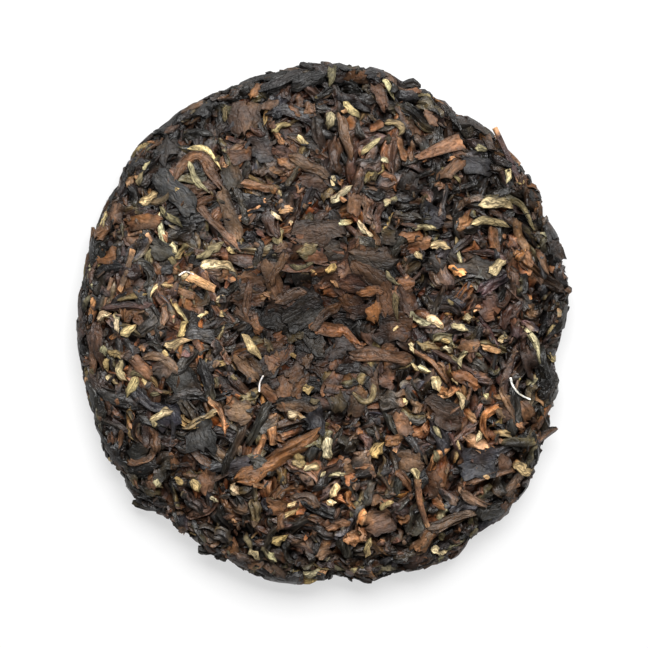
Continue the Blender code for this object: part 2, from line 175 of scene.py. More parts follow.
class Skin:
    """One face of the cake with a stretch past the rim, rolled out flat.

    A place on the flat map is at its angle round the cake, and its distance from the map's middle is the arc
    length of the section from the cake's middle.
    """

    def __init__(self, near_height, far_height, upward):
        turn = np.linspace(0, math.pi, SECTION_STEPS + 1)
        share = np.sin(turn)
        height = np.where(turn < math.pi / 2, near_height(share), far_height(share))
        arc = np.concatenate(([0.0], np.cumsum(np.hypot(np.diff(share) * RADIUS, np.diff(height)))))
        self.rim = float(arc[SECTION_STEPS // 2])
        self.reach = self.rim + OVERLAP
        self.arc = np.linspace(0, self.reach + MAP_MARGIN, MAP_STEPS)
        self.share = np.interp(self.arc, arc, share)
        self.height = np.interp(self.arc, arc, height)
        outward = np.gradient(self.share * RADIUS, self.arc)
        rising = np.gradient(self.height, self.arc)
        steepness = np.hypot(outward, rising)
        self.normal_out = -upward * rising / steepness
        self.normal_up = upward * outward / steepness

    def to_space(self, flat, proud):
        """Points of the frame, for places on the flat map that stand proud of the smooth section."""
        arc = np.hypot(flat[..., 0], flat[..., 1])
        angle = np.arctan2(flat[..., 1], flat[..., 0])
        share = np.interp(arc, self.arc, self.share)
        height = np.interp(arc, self.arc, self.height)
        out = np.interp(arc, self.arc, self.normal_out)
        up = np.interp(arc, self.arc, self.normal_up)
        near_rim = np.clip(4 * share - 3, 0, 1)
        radius = share * rim_radius(angle) - (RIM_INSET + dent_depth(angle)) * near_rim + out * proud
        z = height + up * proud - FLOOR_GAP
        z = FLOOR_GAP + FLOOR_SOFTNESS * np.logaddexp(0, z / FLOOR_SOFTNESS)
        x = radius * np.cos(angle) + DISC_MIDDLE[0]
        y = radius * np.sin(angle) + DISC_MIDDLE[1]
        return np.stack((x, y, z), axis=-1)

    def from_space(self, x, y):
        """The place on the flat map under a point of the frame, seen from straight above or below."""
        x = x - DISC_MIDDLE[0]
        y = y - DISC_MIDDLE[1]
        angle = np.arctan2(y, x)
        radius = np.hypot(x, y)
        near = self.arc <= self.rim
        arc = np.interp(radius / rim_radius(angle), self.share[near], self.arc[near])
        return np.stack((arc * np.cos(angle), arc * np.sin(angle)), axis=-1)


def blur(values, width):
    """Box blur of a map, three times over along each of its axes. The width is in cells."""
    size = max(1, int(round(width)))
    kernel = np.ones(2 * size + 1) / (2 * size + 1)

    def blur_row(row):
        return np.convolve(np.pad(row, size, "edge"), kernel, "valid")

    for axis in (0, 0, 0, 1, 1, 1):
        values = np.apply_along_axis(blur_row, axis, values)
    return values


def relax(values, passes, around=False):
    """Evens out values along the first axis, or round the second."""
    for _ in range(passes):
        if around:
            values = 0.5 * values + 0.25 * (np.roll(values, 1, 1) + np.roll(values, -1, 1))
        else:
            padded = np.concatenate((values[:1], values, values[-1:]))
            values = 0.5 * values + 0.25 * (padded[:-2] + padded[2:])
    return values


class Pile:
    """How high the leaves stand on one skin, cell by cell of its flat map."""

    def __init__(self, skin, draw):
        self.skin = skin
        self.half = int((skin.reach + PILE_MARGIN) / CELL)
        side = 2 * self.half + 1
        waves = 0
        for width, height in GROUND_WAVES:
            waves = waves + height * blur(draw.standard_normal((side, side)), width / CELL) * width
        self.ground = np.abs(waves)
        self.height = self.ground.copy()

    def cell(self, flat):
        """Row and column of the cell at a place on the flat map."""
        index = np.rint(flat / CELL).astype(int) + self.half
        return np.clip(index, 0, 2 * self.half)

    def at(self, flat):
        """How high the pile stands at a place."""
        index = self.cell(flat)
        return self.height[index[..., 0], index[..., 1]]

    def raise_to(self, flat, top):
        """Raises the pile to the tops of a piece."""
        index = self.cell(flat).reshape(-1, 2)
        np.maximum.at(self.height, (index[:, 0], index[:, 1]), top.ravel())

    def low_place(self, draw, inner, outer, tries):
        """The lowest of some random places between two arc lengths, by a ring of points round each."""
        arc = np.sqrt(draw.uniform(inner**2, outer**2, tries))
        angle = draw.uniform(0, math.tau, tries)
        places = np.stack((arc * np.cos(angle), arc * np.sin(angle)), axis=-1)
        ring = np.arange(6) * math.tau / 6
        ring_radius = 2.5
        around = np.stack((np.cos(ring), np.sin(ring)), axis=-1) * ring_radius
        heights = self.at(places[:, None, :] + around[None, :, :]).mean(axis=1)
        return places[heights.argmin()]

    def settle(self):
        """Keeps the even level of the finished pile, which the pressing takes away."""
        self.level = blur(self.height, LEVEL_BLUR / CELL)

    def pressed(self, flat, height):
        """How far points of the pile stand proud of the smooth section once it is pressed."""
        index = self.cell(flat)
        rough = self.roughness(flat)
        raw = (height - self.level[index[..., 0], index[..., 1]]) * rough + LEVEL
        cap = CAP * rough**2
        return cap - CAP_SOFTNESS * np.logaddexp(0, (cap - raw) / CAP_SOFTNESS)

    def roughness(self, flat):
        """How rough the pressing leaves the cake at a place, as a share."""
        arc = np.hypot(flat[..., 0], flat[..., 1])
        degrees = np.degrees(np.arctan2(flat[..., 1], flat[..., 0])) % 360
        side = np.interp(degrees, *zip(*ROUGH_BY_ANGLE))
        return np.interp(arc, *zip(*ROUGH_BY_ARC)) * (1 + (side - 1) * np.clip(arc / ROUGH_SIDE_FROM, 0, 1))

    def shows(self, flat, height):
        """Whether some of a piece is on top of the finished pile."""
        return (height > self.at(flat) - HIDDEN_BY).mean() > SHOWN_SHARE


# ---------------------------------------------------------------- shapes of the leaves
UNDER = 3  # how many points of a strip's section are on its underside


def finer(count, times, closed):
    """The matrix that puts evenly spaced points between count points."""
    total = count * times if closed else (count - 1) * times + 1
    place = np.arange(total) / times
    index = place.astype(int)
    share = place - index
    matrix = np.zeros((total, count))
    rows = np.arange(total)
    np.add.at(matrix, (rows, index % count), 1 - share)
    np.add.at(matrix, (rows, (index + 1) % count), share)
    return matrix


def random_curve(draw, count, knots):
    """A random curve of count values between -1 and 1, through evenly spaced knots."""
    return np.interp(np.linspace(0, knots - 1, count), np.arange(knots), draw.uniform(-1, 1, knots))


def bent_line(draw, place, heading, length, bow, wander, u):
    """A leaf's run: its middle line on the flat map at shares u, which way is sideways, and its length."""
    turn = heading + bow * (u - 0.5) + wander * random_curve(draw, len(u), 4)
    middle = (turn[1:] + turn[:-1]) / 2
    steps = np.diff(u)[:, None] * length * np.stack((np.cos(middle), np.sin(middle)), axis=-1)
    line = np.concatenate((np.zeros((1, 2)), np.cumsum(steps, axis=0)))
    line += place - line[len(line) // 2]
    return line, np.stack((-np.sin(turn), np.cos(turn)), axis=-1), length


def line_through(points, u):
    """The run of a leaf that follows points of the flat map, with its corners cut off twice over."""
    for _ in range(2 if len(points) > 2 else 0):
        near = 0.75 * points[:-1] + 0.25 * points[1:]
        far = 0.25 * points[:-1] + 0.75 * points[1:]
        between = np.stack((near, far), axis=1).reshape(-1, 2)
        points = np.concatenate((points[:1], between, points[-1:]))
    reach = np.concatenate(([0.0], np.cumsum(np.hypot(*np.diff(points, axis=0).T))))
    line = np.stack([np.interp(u * reach[-1], reach, points[:, k]) for k in (0, 1)], axis=-1)
    ahead = np.gradient(line, axis=0)
    ahead /= np.linalg.norm(ahead, axis=1, keepdims=True)
    return line, np.stack((-ahead[:, 1], ahead[:, 0]), axis=-1), float(reach[-1])


def end_taper(u, first, last, power=0.5):
    """1 along a leaf, falling towards its ends over a share first and last of its length."""
    return np.minimum(1.0, np.minimum((u + 0.02) / first, (1.02 - u) / last)) ** power


def strip_across(around):
    """Places across a strip from -1 to 1: over its top, then back under it."""
    over = np.sin(np.linspace(-1, 1, around - UNDER) * math.pi / 2 * 0.9)
    return np.concatenate((over, np.linspace(0.7, -0.7, UNDER)))


def rolled_section(draw, u, around, width, thickness, pointed=1.0):
    """A leaf rolled and folded lengthwise as it dried: ridges run along it with narrow grooves between."""
    across = strip_across(around)
    taper = end_taper(u, pointed * draw.uniform(0.03, 0.25), pointed * draw.uniform(0.03, 0.35))
    left = taper * (1 + 0.35 * random_curve(draw, len(u), 7))
    right = taper * (1 + 0.35 * random_curve(draw, len(u), 7))
    half = np.where(across > 0, right[:, None], left[:, None]) * width / 2
    sideways = half * across + 0.14 * width * random_curve(draw, len(u), 5)[:, None]
    ridges = draw.uniform(0.8, 1.3) * max(1.0, width / 2.4)
    drift = draw.normal(0, 1.4) * u + 0.7 * random_curve(draw, len(u), 5) + draw.uniform(0, math.pi)
    fold = np.abs(np.cos(math.pi * ridges * across[None, :] / 2 + drift[:, None])) ** 0.7
    crown = np.sqrt(np.clip(1 - 0.9 * across**2, 0, 1))
    rise = thickness * crown * (0.25 + draw.uniform(0.6, 1.0) * fold) * (taper**0.5)[:, None]
    uneven = 1 + 0.2 * relax(draw.standard_normal(rise.shape), 1)
    rise = rise * (uneven + 0.2 * random_curve(draw, len(u), 7)[:, None])
    upwards = np.where(np.arange(around) < around - UNDER, rise, 0.0) - thickness / 2
    lean = draw.normal(0, 0.25) + draw.normal(0, 0.4) * (u - 0.5)
    cos, sin = np.cos(lean)[:, None], np.sin(lean)[:, None]
    return sideways * cos - upwards * sin, sideways * sin + upwards * cos


def blunt_section(draw, u, around, width, thickness):
    """A rolled leaf broken off short, with blunt ends."""
    return rolled_section(draw, u, around, width, thickness, 0.4)


def flake_section(draw, u, around, width, thickness):
    """A flat piece of leaf, torn at its edges, wrinkled and a little curled: a thin plate."""
    top = around - UNDER
    across = np.concatenate((np.linspace(-1, 1, top), np.linspace(0.7, -0.7, UNDER)))
    taper = end_taper(u, draw.uniform(0.02, 0.12), draw.uniform(0.02, 0.16))
    left = width / 2 * taper * (1 + 0.27 * random_curve(draw, len(u), 6))
    right = width / 2 * taper * (1 + 0.27 * random_curve(draw, len(u), 6))
    sideways = np.where(across > 0, right[:, None], left[:, None]) * across
    curl = draw.normal(0.3, 0.5) * thickness * across**2 * (1 + random_curve(draw, len(u), 4))[:, None]
    drift = draw.normal(0, 2.0) * u + 0.8 * random_curve(draw, len(u), 5) + draw.uniform(0, math.pi)
    wrinkle = np.abs(np.cos(draw.uniform(1.0, 2.2) * across[None, :] + drift[:, None])) ** 0.6 - 0.6
    wave = 0.35 * relax(draw.standard_normal((len(u), around)), 1)
    side = np.where(np.arange(around) < top, 0.5, -0.5) * thickness
    return sideways, side + curl + draw.uniform(0.4, 1.0) * wrinkle + thickness * wave


def wedge_section(draw, u, around, width, thickness):
    """A torn piece of leaf that widens from a narrow end to a broad one cut straight."""
    sideways, upwards = flake_section(draw, u, around, width, thickness)
    half = np.abs(sideways).max(axis=1, keepdims=True)
    return sideways / half * width / 2 * (0.28 + 0.72 * u)[:, None], upwards * 0.6


def oval(width, thickness, taper, radius):
    """An oval section, narrowed along the piece by its taper, with an uneven radius round it."""
    around = radius.shape[1]
    turn = math.tau * (np.arange(around) + 0.5) / around
    half_width = width / 2 * taper[:, None] * radius
    half_height = thickness / 2 * taper[:, None] * radius
    return half_width * np.cos(turn), half_height * np.sin(turn)


def stem_section(draw, u, around, width, thickness):
    """A piece of stalk with shallow ribs, cut or broken square at its ends."""
    ribs = 1 + 0.09 * draw.standard_normal(around)
    swelling = 1 + 0.06 * random_curve(draw, len(u), 5)
    bumps = 1 + 0.03 * draw.standard_normal((len(u), around))
    taper = 1 - draw.uniform(0, 0.35) * u
    return oval(width, thickness, taper, ribs * swelling[:, None] * bumps)


def bud_section(draw, u, around, width, thickness):
    """A downy tip: a slender leaf bud, folded and creased, that narrows to its point."""
    sideways, upwards = rolled_section(draw, u, around, width, thickness)
    narrow = end_taper(u, draw.uniform(0.03, 0.2), draw.uniform(0.2, 0.6), 0.6)[:, None]
    return sideways * narrow, (upwards + thickness / 2) * narrow - thickness / 2


def crumb_section(draw, u, around, width, thickness):
    """A crumb of broken leaf or stalk."""
    radius = 1 + 0.25 * draw.standard_normal((len(u), around))
    taper = np.sin(math.pi * (0.2 + 0.6 * u)) ** 0.7
    return oval(width, thickness, taper, radius)


# Darker leaf edges are partly their own oxidised colour and partly painted shade where they curl down into the
# gaps.
EDGE_OXIDE_AND_PAINTED_SHADE = 0.65  # how much darker a rolled or flat leaf is at its edges


class Kind:
    """One kind of piece: its form, its fineness and how it lies."""

    def __init__(self, section, stations, around, flatness, stiffness, give, sink, torn, fine=(4, 2)):
        self.section = section
        self.edge = 0.0 if section in (stem_section, crumb_section) else EDGE_OXIDE_AND_PAINTED_SHADE
        self.stations = stations  # how many points it has along it
        self.around = around  # and round it
        self.flatness = flatness  # thickness as a share of width
        self.stiffness = stiffness  # passes of evening out the way it bends over the pile
        self.give = give  # how far its section follows the pile across
        self.torn = torn  # how ragged its ends are, as a share of its width
        self.sink = sink  # how deep it lies in the pile, as a share of its thickness
        even = np.linspace(0, 1, stations)
        # Its stations lie closer together at its ends.
        self.u = 0.6 * even + 0.4 * (1 - np.cos(math.pi * even)) / 2
        # The print that it leaves on the pile is finer than its mesh.
        self.along = finer(stations, fine[0], False)
        self.round = finer(around, fine[1], True).T


# Section, stations, points around, flatness, stiffness, give, sink and torn.
KINDS = {
    "long_roll": Kind(rolled_section, 15, 12, (0.34, 0.54), 3, 0.35, 0.15, 0.22),
    "roll": Kind(rolled_section, 10, 11, (0.36, 0.58), 2, 0.35, 0.15, 0.22),
    "lump": Kind(blunt_section, 9, 15, (0.22, 0.36), 1, 0.5, 0.1, 0.3),
    "flake": Kind(flake_section, 9, 11, (0.08, 0.14), 1, 0.7, 0.0, 0.2),
    "wedge": Kind(wedge_section, 9, 11, (0.09, 0.12), 2, 0.6, 0.0, 0.06),
    "stem": Kind(stem_section, 6, 7, (0.8, 1.0), 8, 0.0, 0.35, 0.1),
    "bud": Kind(bud_section, 13, 9, (0.4, 0.65), 2, 0.3, 0.25, 0.1),
    "crumb": Kind(crumb_section, 4, 5, (0.5, 0.9), 0, 0.0, 0.3, 0.2, (2, 2)),
    "under_roll": Kind(rolled_section, 7, 9, (0.4, 0.6), 1, 0.35, 0.15, 0.2),
    "fibre": Kind(stem_section, 14, 4, (1.0, 1.0), 1, 0.0, -0.2, 0.0, (2, 1)),
}


# A leaf or other piece, kept as arrays until all are dropped: its kind, its points on the flat map of its pile
# with their heights, or with no pile its points in the frame, and their colours and grain.
Piece = namedtuple("Piece", "kind_name pile flat height tint grain")


class Batch:
    """The pieces that become one object."""

    def __init__(self, name, material):
        self.name = name
        self.material = material
        self.pieces = []


# ---------------------------------------------------------------- colours of the leaves
# The colours that a leaf of each colour turns to across it or at its tip.
PARTNERS = {
    "black": ("charcoal", "umber", "umber", "olive"),
    "charcoal": ("black", "umber", "brown", "slate"),
    "slate": ("black", "umber", "olive"),
    "umber": ("black", "brown", "rust"),
    "brown": ("umber", "red_brown", "black"),
    "red_brown": ("umber", "brown", "black"),
    "rust": ("brown", "red_brown", "umber"),
    "tan": ("rust", "brown"),
    "olive": ("umber", "charcoal", "gold"),
    "gold": ("olive", "umber", "pale"),
    "pale": ("olive", "gold", "charcoal"),
    "cream": ("gold", "tan"),
    "white": ("white",),
}
# Painted light and shade by the leaves' height over the smooth section: deep down between the leaves they are
# painted darker, and redder, as the shade in the gaps, and on top a little lighter, as painted light.
PAINTED_LIGHT_AND_SHADE_BY_HEIGHT = ((-3.5, 0.16), (-1.8, 0.5), (-0.7, 0.96), (0.8, 1.12))
PAINTED_SHADE_REDNESS = np.array([0.72, 1.08, 1.4])  # the powers of that for red, green and blue
# And painted light and shade by the distance from the middle: painted shade makes them darkest in the dimple
# and at the steep rim, and painted light makes them lightest on the shoulder between. In the dimple they are
# redder too.
PAINTED_LIGHT_AND_SHADE_BY_DISTANCE = (
    *((0, 0.4), (15, 0.46), (27, 0.55), (36, 0.68), (43, 1.04), (56, 1.4)),
    *((70, 1.12), (86, 1.0), (94, 0.52), (125, 0.36)),
)
MIDDLE_REDNESS = np.array([1.22, 1.0, 0.74])
# And painted light and shade by the angle round the cake: the upper left of the ring is painted darker.
PAINTED_LIGHT_AND_SHADE_BY_ANGLE = (
    *((0, 0.92), (35, 1.0), (60, 0.86), (130, 0.76), (185, 1.08)),
    *((240, 0.93), (270, 0.9), (335, 1.1), (360, 0.92)),
)
CUT_END = 0.05  # how much of a stalk's length each pale cut end takes


def tint_of(draw, colour, kind, mottle, ends, place, mixed=1.0):
    """Colour of each point of a leaf: its own shade and, past a wandering line along it, a partner's.

    It is darker at its edges, partly its own oxidised colour and partly painted shade, and mottled, with paler
    cut ends; painted light and shade by where it lies on the cake is in it too. mixed is how freely the shade
    and the second colour come in.
    """
    u, around = kind.u, kind.around
    distance = math.hypot(*place)
    # Its own tone, at random, and painted light and shade by where it lies: painted shade in the dimple and at
    # the rim, painted light on the shoulder, and some by the angle round the cake.
    shade = np.exp(draw.normal(0, 0.05 + 0.22 * mixed))
    strength = 0.5 + 0.5 * mixed if distance < DIMPLE_RADIUS else mixed
    shade *= np.interp(distance, *zip(*PAINTED_LIGHT_AND_SHADE_BY_DISTANCE)) ** strength
    side = np.interp(math.degrees(math.atan2(place[1], place[0])) % 360, *zip(*PAINTED_LIGHT_AND_SHADE_BY_ANGLE))
    shade *= 1 + mixed * (side - 1) * np.clip(distance / 30 - 1, 0, 1)
    shade **= 1 - PALETTE[colour].mean()
    middle = MIDDLE_REDNESS ** (mixed * np.clip(1.5 - distance / 24, 0, 1))
    # A touch of red or blue, more of it in the dark leaves.
    dull = PALETTE[colour][0] < 0.1
    warmth = max(draw.normal(0, 0.1 if dull else 0.05), -0.06)
    blueness = max(draw.normal(0, 0.14 if dull else 0.05), -0.15)
    # One partner's colour along one side, and another's towards the tip.
    names = PARTNERS[colour]
    partner, tip = (PALETTE[names[draw.integers(len(names))]] for _ in range(2))
    across = strip_across(around)
    border = draw.normal(0.6, 0.6) + 0.9 * random_curve(draw, len(u), 5)
    share = mixed / (1 + np.exp(-(across[None, :] - border[:, None]) * 6))[..., None]
    own = PALETTE[colour] * (1 - share) + partner * share
    turned = 0.85 * mixed / (1 + np.exp(-(u - draw.uniform(0.4, 1.7)) * 14))[:, None, None]
    own = own * (1 - turned) + tip * turned
    own = own * shade * middle * np.array([1 + warmth, 1.0, 1 - warmth + blueness])
    # Mottling, and darker edges: partly the edges' own oxidised colour, partly painted shade where they curl
    # down into the gaps.
    patch = 1 + mottle * relax(draw.standard_normal((len(u), around)), 1)
    if kind.edge:
        patch = patch * (1 - kind.edge * np.abs(across[None, :]) ** 4)
    tint = own * np.clip(patch, 0.15, 2.0)[..., None]
    if ends is not None:
        near_end = (np.minimum(u, 1 - u) < CUT_END)[:, None, None]
        tint = np.where(near_end, PALETTE[ends] * shade, tint)
    return tint


def torn_ends(draw, kind, width):
    """How far each point of a leaf lies along it from its place, by the leaf's slanting, ragged ends."""
    places = np.linspace(-1, 1, 6)
    across = strip_across(kind.around)
    near, far = (
        np.interp(across, places, draw.uniform(-1, 1, 6) + draw.normal(0, 0.7) * places) for _ in range(2)
    )
    return kind.torn * width * ((kind.u**5)[:, None] * far + ((1 - kind.u) ** 5)[:, None] * near)


GRAIN_RANGE = 500.0  # of the numbers that set the streaks of leaves apart
PERIMETER_SHARE = 1.3  # how far round a leaf's section is, by its width and thickness together


def grain_of(draw, kind, length, perimeter):
    """How far each point of a leaf is along and round it, and a number that sets its streaks apart."""
    grain = np.empty((kind.stations, kind.around, 3))
    grain[..., 0] = kind.u[:, None] * length
    grain[..., 1] = np.arange(kind.around) / kind.around * perimeter
    grain[..., 2] = draw.uniform(0, GRAIN_RANGE)
    return grain


def drop(batch, kind_name, pile, draw, run, width, colour, ends=None, mottle=0.18, lift=0.0, mixed=1.0):
    """Lays one piece on the pile along its run, raises the pile and keeps the piece in its batch."""
    line, side, length = run
    kind = KINDS[kind_name]
    thickness = width * draw.uniform(*kind.flatness)
    sideways, upwards = kind.section(draw, kind.u, kind.around, width, thickness)
    flat = line[:, None, :] + side[:, None, :] * sideways[..., None]
    ahead = np.stack((side[:, 1], -side[:, 0]), axis=-1)
    flat = flat + ahead[:, None, :] * torn_ends(draw, kind, width)[..., None]
    ground = relax(relax(pile.at(flat), 1), 1, around=True)
    centre = 0.5 * (ground.mean(axis=1) + ground.max(axis=1))
    centre = relax(centre[:, None], kind.stiffness)[:, 0]
    if kind_name == "stem":
        centre = np.polyval(np.polyfit(kind.u, centre, 1), kind.u)
    depth = kind.sink * thickness
    height = centre[:, None] + kind.give * (ground - centre[:, None])
    height = height + upwards + thickness / 2 - depth + lift
    finer_flat = np.einsum("as,stk,tb->abk", kind.along, flat, kind.round)
    finer_height = np.einsum("as,st,tb->ab", kind.along, height, kind.round)
    pile.raise_to(finer_flat, finer_height)
    tint = tint_of(draw, colour, kind, mottle, ends, line.mean(axis=0), mixed)
    perimeter = PERIMETER_SHARE * (width + thickness)
    grain = grain_of(draw, kind, length, perimeter)
    batch.pieces.append(Piece(kind_name, pile, flat, height, tint, grain))


